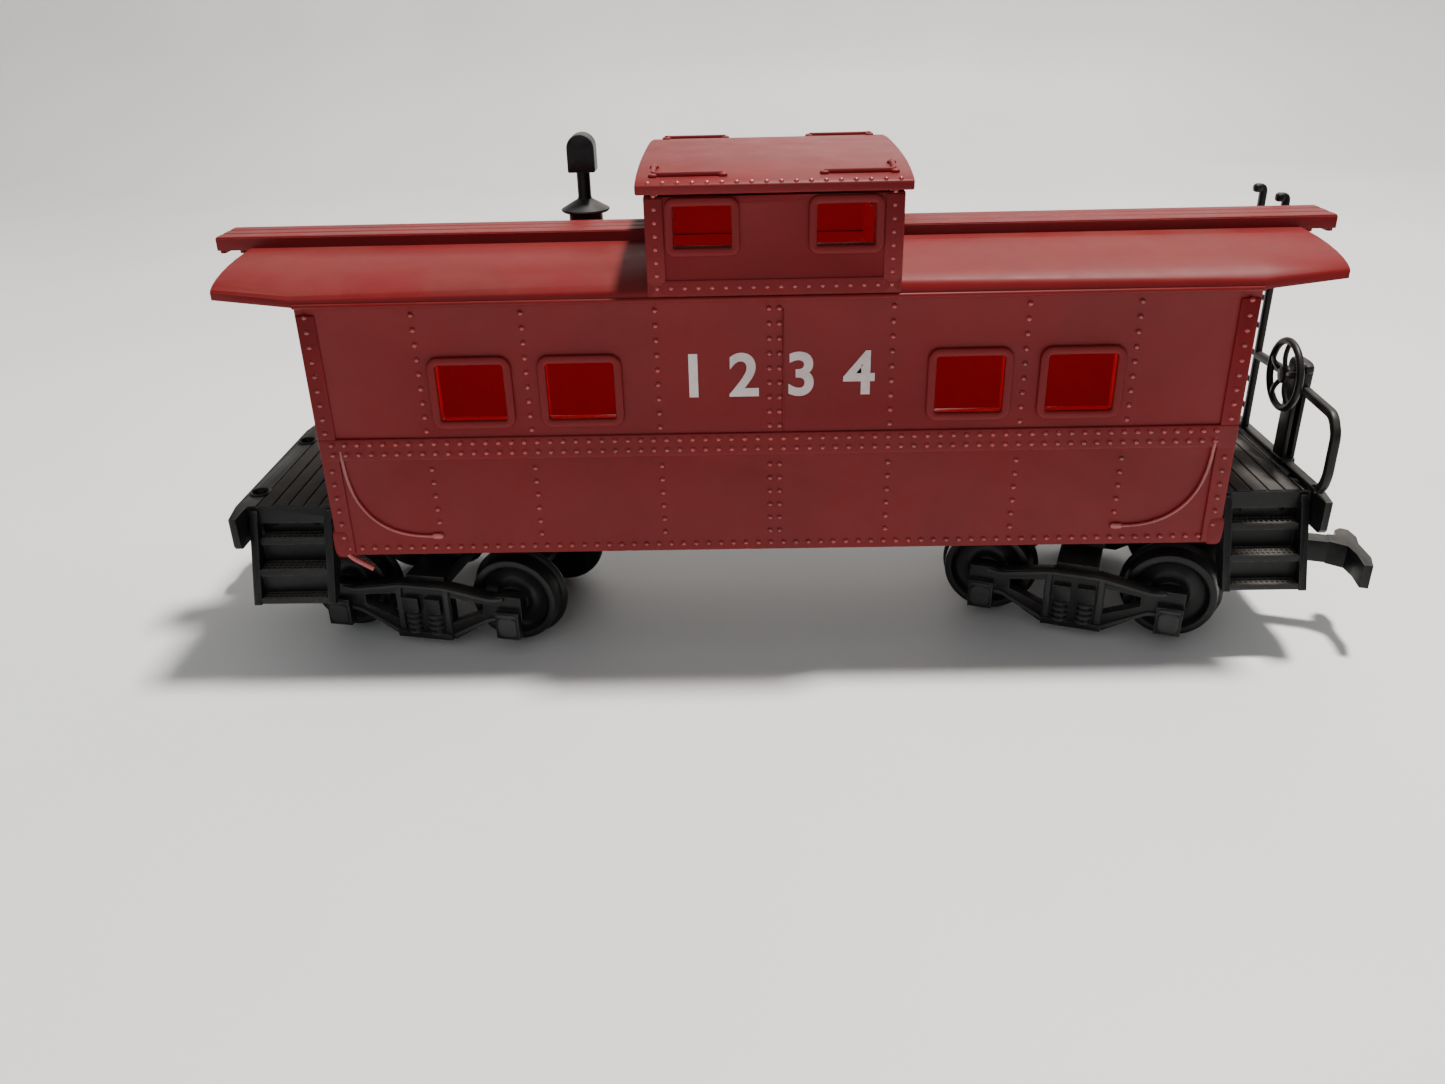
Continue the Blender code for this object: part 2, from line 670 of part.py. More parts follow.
def step_peg_places():
    """Distances of a step set's two pegs from the middle of the vehicle."""
    middle = (STEP_INNER_X + STEP_OUTER_X) / 2
    return (middle - STEP_PEG_SPACING / 2, middle + STEP_PEG_SPACING / 2)


def step_panel(end, side, start, inner_y):
    """One leaning side panel of the steps, reaching in as far as inner_y."""
    foot_rear = STEP_FOOT_Y - STEP_FOOT_WIDTH
    tab_bottom = DECK_BOTTOM_Z - 2.2
    lean = (tab_bottom - STEP_BOTTOM_Z) / STEP_INNER_REACH
    rear_z = STEP_BOTTOM_Z + lean * (foot_rear - inner_y)
    beside_deck = DECK_HALF_WIDTH + GAP
    outline = [
        (beside_deck, DECK_TOP_Z - GAP),
        (beside_deck + 0.8, DECK_TOP_Z - STEP_SHOULDER_DROP),
        (STEP_FOOT_Y, STEP_BOTTOM_Z),
        (foot_rear, STEP_BOTTOM_Z),
        (inner_y, rear_z),
    ]
    if inner_y < beside_deck:
        outline += [(inner_y, DECK_BOTTOM_Z - GAP), (beside_deck, DECK_BOTTOM_Z - GAP)]
    turned_outline = [(side * y, z) for y, z in outline]
    return prism(turned_outline, "X", end * start, end * (start + STEP_PANEL))


def stair_outline():
    """Cross-section of the treads and risers, as points (distance from the middle, height)."""
    outer = [(STEP_FOOT_Y - GAP, STEP_BOTTOM_Z)]
    rear = []
    for index, setback in enumerate(STEP_SETBACKS):
        riser_y = STEP_FOOT_Y - setback
        tread_top = STEP_BOTTOM_Z + STEP_FIRST_RISE + index * STEP_RISE
        tread_bottom = max(tread_top - STEP_TREAD_THICKNESS, STEP_BOTTOM_Z)
        if index:
            front = STEP_FOOT_Y - STEP_SETBACKS[index - 1]
            outer += [(front, tread_bottom), (front + STEP_NOSING, tread_bottom)]
            rear += [(front - STEP_RISER_THICKNESS, tread_bottom)]
        outer += [(outer[-1][0], tread_top), (riser_y, tread_top)]
        rear += [(riser_y - STEP_RISER_THICKNESS, tread_bottom)]
    top = DECK_BOTTOM_Z - GAP
    last = outer[-1][0]
    outer.append((last, top))
    rear.append((last - STEP_RISER_THICKNESS, top))
    return outer + rear[::-1]


def step_set(name, material, end, side):
    """One corner's steps: two side panels, three treads with risers, and fixing pegs."""
    beside_deck = DECK_HALF_WIDTH + GAP
    inner_x = STEP_INNER_X + STEP_PANEL - 0.1
    outer_x = STEP_OUTER_X - STEP_PANEL + 0.1
    stairs = [(side * y, z) for y, z in stair_outline()]
    top = DECK_BOTTOM_Z - GAP
    tab_y = sorted((side * (STEP_REAR_Y - 0.8), side * (STEP_REAR_Y + 0.6)))
    tab_x = sorted((end * inner_x, end * (BEAM_X - GAP)))
    pieces = [
        prism(stairs, "X", end * inner_x, end * outer_x),
        step_panel(end, side, STEP_INNER_X, STEP_REAR_Y),
        step_panel(end, side, STEP_OUTER_X - STEP_PANEL, beside_deck),
        block((tab_x[0], tab_y[0], top - 0.8), (tab_x[1], tab_y[1], top)),
    ]
    for x in step_peg_places():
        peg = [(STEP_PEG_RADIUS, top - 0.4), (STEP_PEG_RADIUS, top + STEP_PEG_HEIGHT)]
        pieces.append(turned(peg, "Z", (end * x, side * STEP_PEG_Y), 12))
    return named(union(pieces), name, material)


def ballast_weight(material):
    """A flat steel plate that lies on the floor, located by two pegs."""
    bottom = FLOOR_TOP_Z + GAP
    top = bottom + WEIGHT_THICKNESS
    half_x = BODY_HALF - WEIGHT_END_INSET
    half_y = SIDE_Y - WEIGHT_SIDE_INSET
    plate = block((-half_x, -half_y, bottom), (half_x, half_y, top))
    hole = WEIGHT_PEG_RADIUS + GAP
    cutters = [
        turned([(hole, bottom - 1.0), (hole, top + 1.0)], "Z", (x, 0.0), 12)
        for x in (-WEIGHT_PEG_X, WEIGHT_PEG_X)
    ]
    return named(subtract(plate, cutters), "ballast_weight", material)


# ---- End railing and brake --------------------------------------------------------------
def ladder():
    """Roof ladder: two stiles with hooked tops, and rungs between them."""
    inner = RAILING_X - RAILING_BAR
    outer = RAILING_X - 0.1
    half = RAILING_BAR / 2 - 0.05
    foot = BEAM_TOP_Z + GAP + 0.2
    pieces = []
    for y in (LADDER_Y, LADDER_Y + LADDER_WIDTH):
        pieces.append(block((inner, y - half, foot), (outer, y + half, LADDER_TOP_Z)))
        hook_top = LADDER_TOP_Z + 0.05
        pieces.append(block((inner - 0.9, y - 0.4, hook_top - 0.9), (outer - 0.1, y + 0.4, hook_top)))
    low = DECK_TOP_Z + 3.6
    spacing = (EAVE_Z - low) / (LADDER_RUNG_COUNT - 1)
    for index in range(LADDER_RUNG_COUNT):
        z = low + index * spacing
        start = (inner + 0.1, LADDER_Y, z - 0.35)
        end = (outer - 0.1, LADDER_Y + LADDER_WIDTH, z + 0.35)
        pieces.append(block(start, end))
    return pieces


def brake_stand():
    """An I-section post with the gear housing on top."""
    foot = BEAM_TOP_Z + GAP + 0.2
    low_y = STAND_Y - STAND_WIDTH / 2
    high_y = STAND_Y + STAND_WIDTH / 2
    web_y = STAND_WEB / 2
    depth = RAILING_BAR / 2 + 0.25
    housing_z = RAIL_Z - 0.4
    housing_y = HOUSING_WIDTH / 2
    return [
        block((RAILING_X - depth, STAND_Y - web_y, foot), (RAILING_X + depth, STAND_Y + web_y, RAIL_Z)),
        block((RAILING_X - depth - 0.05, low_y, foot), (RAILING_X - depth + 0.55, high_y, RAIL_Z)),
        block((RAILING_X + depth - 0.55, low_y, foot), (RAILING_X + depth + 0.05, high_y, RAIL_Z)),
        block(
            (RAILING_X - depth - 0.15, STAND_Y - housing_y, housing_z),
            (RAILING_X + depth + 0.35, STAND_Y + housing_y, housing_z + HOUSING_HEIGHT),
        ),
    ]


def end_railing(material):
    """Railing, brake stand and roof ladder of the right end, moulded as one piece."""
    low_x = RAILING_X - RAILING_BAR / 2
    high_x = RAILING_X + RAILING_BAR / 2
    near = -SIDE_Y - 0.1
    base_z = BEAM_TOP_Z + GAP
    rail_path = [
        (STAND_Y - 0.8, RAIL_Z + 0.1),
        (near + 0.6, RAIL_Z - 0.3),
        (near, RAIL_Z - 1.0),
        (near - 0.1, base_z + 2.0),
        (near + 1.4, base_z + 0.4),
    ]
    far_path = [(STAND_Y + 0.8, RAIL_Z + 0.7), (LADDER_Y, RAIL_Z + 0.7)]
    strip_end = LADDER_Y + LADDER_WIDTH + RAILING_BAR / 2
    pieces = [
        block((low_x - 0.05, near + 0.9, base_z), (high_x + 0.05, strip_end, base_z + 0.7)),
        prism(bar_outline(rail_path, RAILING_BAR), "X", low_x, high_x),
        prism(bar_outline(far_path, RAILING_BAR), "X", low_x, high_x - 0.1),
        *brake_stand(),
        *ladder(),
    ]
    for y in (-SOCKET_Y, SOCKET_Y):
        radius = SOCKET_RADIUS - GAP
        bottom = BEAM_TOP_Z - SOCKET_DEPTH + GAP
        pieces.append(turned([(radius, bottom), (radius, base_z + 0.2)], "Z", (RAILING_X, y), 12))
    stem_hole = BRAKE_STEM_RADIUS + GAP
    face = RAILING_X - RAILING_BAR / 2 - 0.4
    cutter = turned([(stem_hole, face - 1.0), (stem_hole, face + 1.2)], "X", (STAND_Y, BRAKE_AXIS_Z), 12)
    railing = subtract(union(pieces), [cutter])
    return named(railing, "end_railing", material)


def brake_wheel(material, parent):
    """Handwheel with a round rim, spokes, a hub and a stem that turns in the housing."""
    inner = BRAKE_WHEEL_RADIUS - BRAKE_RIM
    half = BRAKE_RIM / 2
    rim = turned_ring(
        [(inner, -half), (BRAKE_WHEEL_RADIUS, -half), (BRAKE_WHEEL_RADIUS, half), (inner, half)],
        "X",
        24,
    )
    hub = turned([(1.1, -half - 0.1), (1.1, half + 0.1)], "X", steps=12)
    stem = turned([(BRAKE_STEM_RADIUS, 0.0), (BRAKE_STEM_RADIUS, half + 1.6)], "X", steps=12)
    spokes = []
    for index in range(BRAKE_SPOKE_COUNT):
        spoke = block((-0.3, -0.35, 0.6), (0.3, 0.35, inner + 0.3))
        turn = Matrix.Rotation(math.tau * index / BRAKE_SPOKE_COUNT, 4, "X")
        spoke.data.transform(turn)
        spokes.append(spoke)
    return named(union([rim, hub, stem, *spokes]), "brake_wheel", material, parent)


# ---- Trucks -----------------------------------------------------------------------------
def sideframe(side):
    """One arch-bar side of a truck: chords, journal boxes and a pair of springs."""
    half_base = WHEELBASE / 2
    journal = half_base + JOURNAL_BLOCK_WIDTH / 2
    top = SIDEFRAME_TOP_Z
    bottom = SIDEFRAME_BOTTOM_Z
    journal_top = AXLE_Z + JOURNAL_BLOCK_RISE
    journal_bottom = AXLE_Z - JOURNAL_BLOCK_DROP
    quarter = [
        (2.9, top),
        (half_base - JOURNAL_BLOCK_WIDTH / 2, journal_top - 0.3),
        (half_base - 0.9, journal_top),
        (journal, journal_top),
        (journal, journal_bottom),
        (half_base - JOURNAL_BLOCK_WIDTH / 2 - 0.4, journal_bottom),
        (PLANK_HALF_LENGTH, bottom),
    ]
    outline = quarter + [(-x, z) for x, z in quarter[::-1]]
    inner_y = side * SIDEFRAME_INNER_Y
    outer_y = side * (SIDEFRAME_INNER_Y + SIDEFRAME_THICKNESS)
    frame = prism(outline, "Y", inner_y, outer_y)
    window = [
        (3.6, top - 1.5),
        (3.6, bottom + 2.2),
        (half_base - JOURNAL_BLOCK_WIDTH / 2 - 1.4, journal_bottom + 0.9),
        (half_base - JOURNAL_BLOCK_WIDTH / 2 - 1.4, journal_top - 1.2),
    ]
    cutters = []
    pieces = [frame]
    box_top = AXLE_Z - JOURNAL_BOX_TOP
    cap_bottom = bottom + 0.8 + SPRING_HEIGHT - 0.3
    for end in (1, -1):
        opening = [(end * x, z) for x, z in window]
        cutters.append(prism(opening, "Y", inner_y - side, outer_y + side))
        cup = [
            (AXLE_RADIUS + GAP, inner_y - side),
            (AXLE_RADIUS + GAP, inner_y + side * BEARING_CUP_DEPTH),
        ]
        cutters.append(turned(cup, "Y", (end * half_base, AXLE_Z), 12))
        x_ends = sorted((end * (half_base - 1.3), end * (half_base - 1.3 + JOURNAL_BOX_WIDTH)))
        y_ends = sorted((outer_y - side * 0.5, outer_y + side * JOURNAL_BOX_DEPTH))
        pieces.append(block(
            (x_ends[0], y_ends[0], box_top - JOURNAL_BOX_HEIGHT), (x_ends[1], y_ends[1], box_top)
        ))
        spring = [(SPRING_RADIUS, bottom + 0.7), (SPRING_RADIUS, cap_bottom + 0.2)]
        pieces.append(turned(spring, "Z", (end * SPRING_X, outer_y - side * 0.2), 12))
        x_ends = sorted((
            end * (SPRING_X - SPRING_CAP_WIDTH / 2), end * (SPRING_X + SPRING_CAP_WIDTH / 2)
        ))
        y_ends = sorted((outer_y - side * 0.4, outer_y + side * SPRING_CAP_DEPTH))
        pieces.append(block(
            (x_ends[0], y_ends[0], cap_bottom), (x_ends[1], y_ends[1], cap_bottom + SPRING_CAP_HEIGHT)
        ))
    seat_y = sorted((inner_y + side * 0.1, outer_y + side * 0.7))
    reach = PLANK_HALF_LENGTH - 0.2
    pieces.append(block((-reach, seat_y[0], bottom + 0.1), (reach, seat_y[1], bottom + 0.9)))
    subtract(frame, cutters)
    return union(pieces)


def coupler_box():
    """The pocket at the end of the truck's tongue, open in front and below."""
    front = COUPLER_PIVOT_X + COUPLER_RING_RADIUS + 2.9
    back = COUPLER_PIVOT_X - COUPLER_RING_RADIUS - GAP - COUPLER_BOX_WALL
    half = COUPLER_BOX_WIDTH / 2
    roof_bottom = COUPLER_TOP_Z + GAP / 2
    box = block((back, -half, COUPLER_BOTTOM_Z), (front, half, roof_bottom + COUPLER_BOX_WALL))
    pocket_y = half - COUPLER_BOX_WALL
    pocket = block(
        (back + COUPLER_BOX_WALL, -pocket_y, COUPLER_BOTTOM_Z - 1.0),
        (front + 1.0, pocket_y, roof_bottom),
    )
    post = turned(
        [(COUPLER_POST_RADIUS, COUPLER_BOTTOM_Z), (COUPLER_POST_RADIUS, roof_bottom + 0.3)],
        "Z",
        (COUPLER_PIVOT_X, 0.0),
        12,
    )
    tongue = block(
        (BOLSTER_LENGTH / 2 - 0.5, -TONGUE_WIDTH / 2, COUPLER_BOTTOM_Z),
        (back + 0.3, TONGUE_WIDTH / 2, BOLSTER_TOP_Z - 0.3),
    )
    subtract(box, [pocket])
    return [box, post, tongue]


def truck_frame(name, material, parent):
    """Bolster, two side frames, centre plate, tongue and coupler pocket in one moulding."""
    reach = SIDEFRAME_INNER_Y + 0.4
    half = BOLSTER_LENGTH / 2
    bolster = block((-half, -reach, BOLSTER_BOTTOM_Z), (half, reach, BOLSTER_TOP_Z - 1.2))
    middle = block(
        (-half + 0.1, -reach / 2, BOLSTER_BOTTOM_Z + 0.1), (half - 0.1, reach / 2, BOLSTER_TOP_Z)
    )
    plate = [(BOSS_RADIUS - 0.2, BOLSTER_TOP_Z - 0.2), (BOSS_RADIUS - 0.2, BOSS_BOTTOM_Z - GAP)]
    pieces = [bolster, middle, turned(plate, "Z"), sideframe(1), sideframe(-1), *coupler_box()]
    bore = PIN_RADIUS + GAP
    hole = turned([(bore, BOLSTER_BOTTOM_Z - 1.0), (bore, BOSS_BOTTOM_Z + 1.0)], "Z")
    return named(subtract(union(pieces), [hole]), name, material, parent)


def truck_pin(name, material, location):
    """Push-in pin that holds a truck to its boss and lets it swivel."""
    head_top = BOLSTER_BOTTOM_Z - GAP
    profile = [
        (PIN_HEAD_RADIUS - 0.4, head_top - PIN_HEAD_THICKNESS),
        (PIN_HEAD_RADIUS, head_top - PIN_HEAD_THICKNESS / 2),
        (PIN_HEAD_RADIUS, head_top),
        (PIN_RADIUS, head_top),
        (PIN_RADIUS, FLOOR_Z),
        (PIN_RADIUS - 0.4, FLOOR_Z + 0.4),
    ]
    return named(turned(profile, "Z", location), name, material)


def coupler_cover(name, material, parent):
    """Plate that closes the coupler pocket from below."""
    front = COUPLER_PIVOT_X + COUPLER_RING_RADIUS + 2.9
    back = COUPLER_PIVOT_X - COUPLER_RING_RADIUS - GAP - COUPLER_BOX_WALL
    half = COUPLER_BOX_WIDTH / 2
    top = COUPLER_BOTTOM_Z - GAP
    plate = block((back, -half, top - COUPLER_BOX_WALL), (front, half, top))
    return named(plate, name, material, parent)


def coupler(name, material, parent):
    """Hook-and-horn coupler: a pivot ring, a shank and a head with one long horn."""
    half = COUPLER_SHANK_WIDTH / 2
    reach = COUPLER_REACH
    bottom = COUPLER_BOTTOM_Z
    ring = turned(
        [(COUPLER_RING_RADIUS, bottom + 0.1), (COUPLER_RING_RADIUS, COUPLER_TOP_Z - 0.2)], "Z"
    )
    shank = block((1.6, -half, bottom + 0.1), (reach - 2.4, half, COUPLER_TOP_Z - 0.1))
    head_outline = [
        (reach - 3.3, -half),
        (reach - 1.3, -half - 0.8),
        (reach - 0.6, -half - 2.9),
        (reach - 0.2, -half - 5.7),
        (reach + 0.8, -half - 5.7),
        (reach + 0.9, -half - 3.3),
        (reach, -half + 0.3),
        (reach, half + 0.1),
        (reach - 0.7, half + 2.0),
        (reach - 1.6, half + 2.3),
        (reach - 2.3, half + 1.5),
        (reach - 2.3, half),
        (reach - 3.3, half),
    ]
    head = prism(head_outline, "Z", bottom, COUPLER_TOP_Z)
    bore = COUPLER_POST_RADIUS + GAP
    hole = turned([(bore, bottom - 1.0), (bore, COUPLER_TOP_Z + 1.0)], "Z", steps=12)
    return named(subtract(union([ring, shank, head]), [hole]), name, material, parent)


def axle(name, material, parent):
    """Plain axle with a conical point at each end."""
    shoulder = SIDEFRAME_INNER_Y - 0.4
    tip = SIDEFRAME_INNER_Y + BEARING_CUP_DEPTH - GAP
    profile = [
        (AXLE_POINT_RADIUS, -tip),
        (AXLE_RADIUS, -shoulder),
        (AXLE_RADIUS, shoulder),
        (AXLE_POINT_RADIUS, tip),
    ]
    return named(turned(profile, "Y"), name, material, parent)


def wheel(name, material, parent, side):
    """Flanged wheel on the +Y or -Y side of an axle, with a dished outer face."""
    back = WHEEL_BACK_Y
    tread_start = back + FLANGE_THICKNESS
    face = tread_start + TREAD_WIDTH
    bore = AXLE_RADIUS + GAP
    profile = [
        (bore, back),
        (FLANGE_RADIUS - 0.3, back),
        (FLANGE_RADIUS, back + 0.35),
        (TREAD_RADIUS + 0.15, tread_start),
        (TREAD_RADIUS, face),
        (TREAD_RADIUS - 0.9, face),
        (TREAD_RADIUS - 1.5, face - 0.9),
        (bore + 0.9, face - 0.7),
        (bore, face - 0.2),
    ]
    ring = turned_ring([(radius, side * y) for radius, y in profile], "Y", WHEEL_STEPS)
    return named(ring, name, material, parent)


def truck(end_name, end, yaw, swing, material):
    """One complete truck with its two wheelsets and its coupler."""
    facing = 0.0 if end > 0 else 180.0
    swivel = pivot(f"truck_{end_name}_axis", (end * TRUCK_X, 0.0, 0.0), facing + yaw)
    truck_frame(f"truck_frame_{end_name}", material, swivel)
    coupler_cover(f"coupler_cover_{end_name}", material, swivel)
    truck_pin(f"truck_pin_{end_name}", material, (end * TRUCK_X, 0.0))
    joint = pivot(f"coupler_{end_name}_axis", (COUPLER_PIVOT_X, 0.0, 0.0), swing, swivel)
    coupler(f"coupler_{end_name}", material, joint)
    for position, x in (("outer", WHEELBASE / 2), ("inner", -WHEELBASE / 2)):
        line = pivot(f"axle_{end_name}_{position}_axis", (x, 0.0, AXLE_Z), 0.0, swivel)
        label = f"{end_name}_{position}"
        axle(f"axle_{label}", material, line)
        near = -1 if end > 0 else 1
        wheel(f"wheel_{label}_near", material, line, near)
        wheel(f"wheel_{label}_far", material, line, -near)


def clear_scene():
    for item in list(bpy.data.objects):
        bpy.data.objects.remove(item)


def main():
    clear_scene()
    red = red_plastic()
    black = black_plastic()
    body_shell(red)
    cupola_roof(red)
    smokejack(black)
    underframe(black)
    ballast_weight(grey_steel())
    for end_name, end in (("right", 1), ("left", -1)):
        for side_name, side in (("near", -1), ("far", 1)):
            step_set(f"steps_{end_name}_{side_name}", black, end, side)
    end_railing(black)
    stem_face = RAILING_X - RAILING_BAR / 2 - 0.4
    wheel_x = stem_face - GAP - BRAKE_RIM / 2 - 0.1
    brake_axis = pivot("brake_wheel_axis", (wheel_x, STAND_Y, BRAKE_AXIS_Z))
    brake_wheel(black, brake_axis)
    truck("right", 1, TRUCK_YAW_RIGHT, COUPLER_SWING_RIGHT, black)
    truck("left", -1, TRUCK_YAW_LEFT, COUPLER_SWING_LEFT, black)


main()
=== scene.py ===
"""Looks of the model caboose: moulded red van body, black plastic running gear, studio and camera."""

import json
import logging
import math
from dataclasses import dataclass, field
from enum import Enum
from typing import Callable

import bmesh
import bpy
import numpy as np
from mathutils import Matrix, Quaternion, Vector


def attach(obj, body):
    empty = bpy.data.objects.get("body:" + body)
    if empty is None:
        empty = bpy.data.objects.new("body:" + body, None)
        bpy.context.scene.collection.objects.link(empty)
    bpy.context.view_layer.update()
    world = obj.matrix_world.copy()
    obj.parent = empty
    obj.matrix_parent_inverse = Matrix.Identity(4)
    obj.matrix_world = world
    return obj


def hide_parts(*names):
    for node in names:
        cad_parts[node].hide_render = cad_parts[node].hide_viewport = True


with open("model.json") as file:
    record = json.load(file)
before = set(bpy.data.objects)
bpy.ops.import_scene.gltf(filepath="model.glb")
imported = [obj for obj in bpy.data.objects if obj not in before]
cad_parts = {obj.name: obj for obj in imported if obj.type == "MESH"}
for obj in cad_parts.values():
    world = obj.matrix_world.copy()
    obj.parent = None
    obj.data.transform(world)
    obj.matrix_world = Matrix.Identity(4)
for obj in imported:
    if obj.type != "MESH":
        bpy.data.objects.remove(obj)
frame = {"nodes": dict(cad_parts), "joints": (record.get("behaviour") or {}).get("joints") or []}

LOG = logging.getLogger("caboose")
MM = 0.001
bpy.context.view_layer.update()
UP = (0.0, 0.0, 1.0)
ALONG = (1.0, 0.0, 0.0)
ACROSS = (0.0, 1.0, 0.0)
SOFT_CREASE = 38.0
RIVET_CREASE = 80.0
MERGE_DISTANCE = 0.002
FLAT_ANGLE = 0.6
ROUNDED_ANGLE = 32.0
FLOOR_GAP = 0.00002

Colour = tuple[float, float, float]
Triple = tuple[float, float, float]


class Side(Enum):
    """The two long sides of the van, by the sign of their y."""

    NEAR = -1
    FAR = 1


class End(Enum):
    """The two ends of the van, by the sign of their x."""

    LEFT = -1
    RIGHT = 1


# ---- Shapes -----------------------------------------------------------------------------
@dataclass
class Shape:
    """Points and faces of closed surfaces, collected patch by patch, in millimetres."""

    points: list[np.ndarray] = field(default_factory=list)
    quads: list[np.ndarray] = field(default_factory=list)
    triangles: list[np.ndarray] = field(default_factory=list)
    count: int = 0

    def patch(self, grid: np.ndarray, wrap_rows: bool = False, wrap_columns: bool = False) -> np.ndarray:
        """Adds a grid of points and the quads between its neighbours.

        Args:
            grid: array of rows by columns by 3.
            wrap_rows: joins the last row to the first.
            wrap_columns: joins the last column to the first.

        Returns:
            The index of every point of the grid, rows by columns.
        """
        rows, columns = grid.shape[:2]
        index = self.count + np.arange(rows * columns).reshape(rows, columns)
        self.points.append(grid.reshape(-1, 3))
        self.count += rows * columns
        ring = np.vstack([index, index[:1]]) if wrap_rows else index
        ring = np.hstack([ring, ring[:, :1]]) if wrap_columns else ring
        corners = [ring[:-1, :-1], ring[1:, :-1], ring[1:, 1:], ring[:-1, 1:]]
        self.quads.append(np.stack(corners, -1).reshape(-1, 4))
        return index

    def cap(self, loop: np.ndarray) -> None:
        """Closes a loop of point indices with a fan of triangles to its middle.

        Args:
            loop: the indices, in order round the loop.
        """
        every = np.concatenate(self.points)
        middle = every[loop].mean(0)
        self.points.append(middle[None])
        hub = np.full(len(loop), self.count)
        self.count += 1
        self.triangles.append(np.stack([loop, np.roll(loop, -1), hub], -1))

    def add(self, other: "Shape") -> "Shape":
        """Takes in another shape's patches and returns itself.

        Args:
            other: the shape to take in.

        Returns:
            Itself.
        """
        self.points += other.points
        self.quads += [quads + self.count for quads in other.quads]
        self.triangles += [triangles + self.count for triangles in other.triangles]
        self.count += other.count
        return self

    def moved(self, matrix: np.ndarray) -> "Shape":
        """A copy whose points are put through a 4 by 4 matrix."""
        points = np.concatenate(self.points) @ matrix[:3, :3].T + matrix[:3, 3]
        return Shape([points], list(self.quads), list(self.triangles), self.count)


def together(shapes: list[Shape]) -> Shape:
    """Collects several shapes in one.

    Args:
        shapes: the shapes, in order.

    Returns:
        One shape that holds them all.
    """
    whole = Shape()
    for shape in shapes:
        whole.add(shape)
    return whole


def placed(centre: Triple, turn_z: float = 0.0) -> np.ndarray:
    """A 4 by 4 matrix that turns about Z by an angle in radians and then moves to a centre.

    Args:
        centre: where the origin goes, in millimetres.
        turn_z: the turn about Z, in radians.

    Returns:
        The matrix.
    """
    matrix = np.eye(4)
    matrix[:2, :2] = [[math.cos(turn_z), -math.sin(turn_z)], [math.sin(turn_z), math.cos(turn_z)]]
    matrix[:3, 3] = centre
    return matrix


def points_at(x: object, y: object, z: object) -> np.ndarray:
    """Points, n by 3, whose x, y and z are each one number or a row of numbers."""
    return np.stack(np.broadcast_arrays(*np.atleast_1d(x, y, z)), -1)


def soft_rectangle(width: float, height: float, power: float = 5.0, steps: int = 20) -> np.ndarray:
    """A rectangle with soft corners: the superellipse |x/a|^power + |y/b|^power = 1.

    Args:
        width: its full width.
        height: its full height.
        power: higher powers give sharper corners.
        steps: points round the outline.

    Returns:
        Array of points by 2, as (sideways, upwards).
    """
    turn = np.linspace(0.0, math.tau, steps, endpoint=False)
    share = 2.0 / power
    across = np.sign(np.cos(turn)) * np.abs(np.cos(turn)) ** share * width / 2
    up = np.sign(np.sin(turn)) * np.abs(np.sin(turn)) ** share * height / 2
    return np.stack([across, up], -1)


def filleted(corners: list[tuple[float, ...]], radius: float, steps: int = 7) -> np.ndarray:
    """An open path through corners, each rounded by a quadratic curve.

    Args:
        corners: the path's points, in order.
        radius: how far from each corner its curve starts.
        steps: points along each curve.

    Returns:
        Array of points by 3.
    """
    way = np.array(corners, float)
    pieces = [way[:1]]
    share = np.linspace(0.0, 1.0, steps)[:, None]
    for before, here, after in zip(way[:-2], way[1:-1], way[2:]):
        into = (before - here) / np.linalg.norm(before - here)
        out = (after - here) / np.linalg.norm(after - here)
        start = here + into * min(radius, np.linalg.norm(before - here) * 0.45)
        end = here + out * min(radius, np.linalg.norm(after - here) * 0.45)
        pieces.append((1 - share) ** 2 * start + 2 * share * (1 - share) * here + share**2 * end)
    pieces.append(way[-1:])
    return np.concatenate(pieces)


def rounded_frame_path(width: float, height: float, radius: float, steps: int = 6) -> np.ndarray:
    """A closed rectangle path with quarter-circle corners, as points (across, up).

    Args:
        width: its full width.
        height: its full height.
        radius: radius of the corners.
        steps: points round each corner.

    Returns:
        Array of points by 2.
    """
    quarter = np.linspace(0.0, math.pi / 2, steps)
    parts = []
    for number, (sx, sz) in enumerate(((1, 1), (-1, 1), (-1, -1), (1, -1))):
        turn = quarter + number * math.pi / 2
        centre = np.array([sx * (width / 2 - radius), sz * (height / 2 - radius)])
        parts.append(centre + radius * np.stack([np.cos(turn), np.sin(turn)], -1))
    return np.concatenate(parts)


def sweep(path: np.ndarray, profile: np.ndarray, up: Triple, closed: bool = False) -> Shape:
    """Carries a flat closed profile along a path.

    Each point is path + first * side + second * up, where side is the path's direction
    crossed with up.

    Args:
        path: points of the path, n by 3.
        profile: closed outline, m by 2, as (sideways, upwards).
        up: the direction that the profile's second number goes.
        closed: whether the path is a loop.

    Returns:
        A closed shape, capped at both ends where the path is open.
    """
    if closed:
        heading = np.roll(path, -1, 0) - np.roll(path, 1, 0)
    else:
        heading = np.gradient(path, axis=0)
    heading /= np.linalg.norm(heading, axis=1, keepdims=True)
    above = np.broadcast_to(np.array(up, float), heading.shape)
    side = np.cross(heading, above)
    side /= np.linalg.norm(side, axis=1, keepdims=True)
    grid = (
        path[:, None, :]
        + profile[None, :, :1] * side[:, None, :]
        + profile[None, :, 1:] * above[:, None, :]
    )
    shape = Shape()
    index = shape.patch(grid, wrap_rows=closed, wrap_columns=True)
    if not closed:
        shape.cap(index[0])
        shape.cap(index[-1])
    return shape


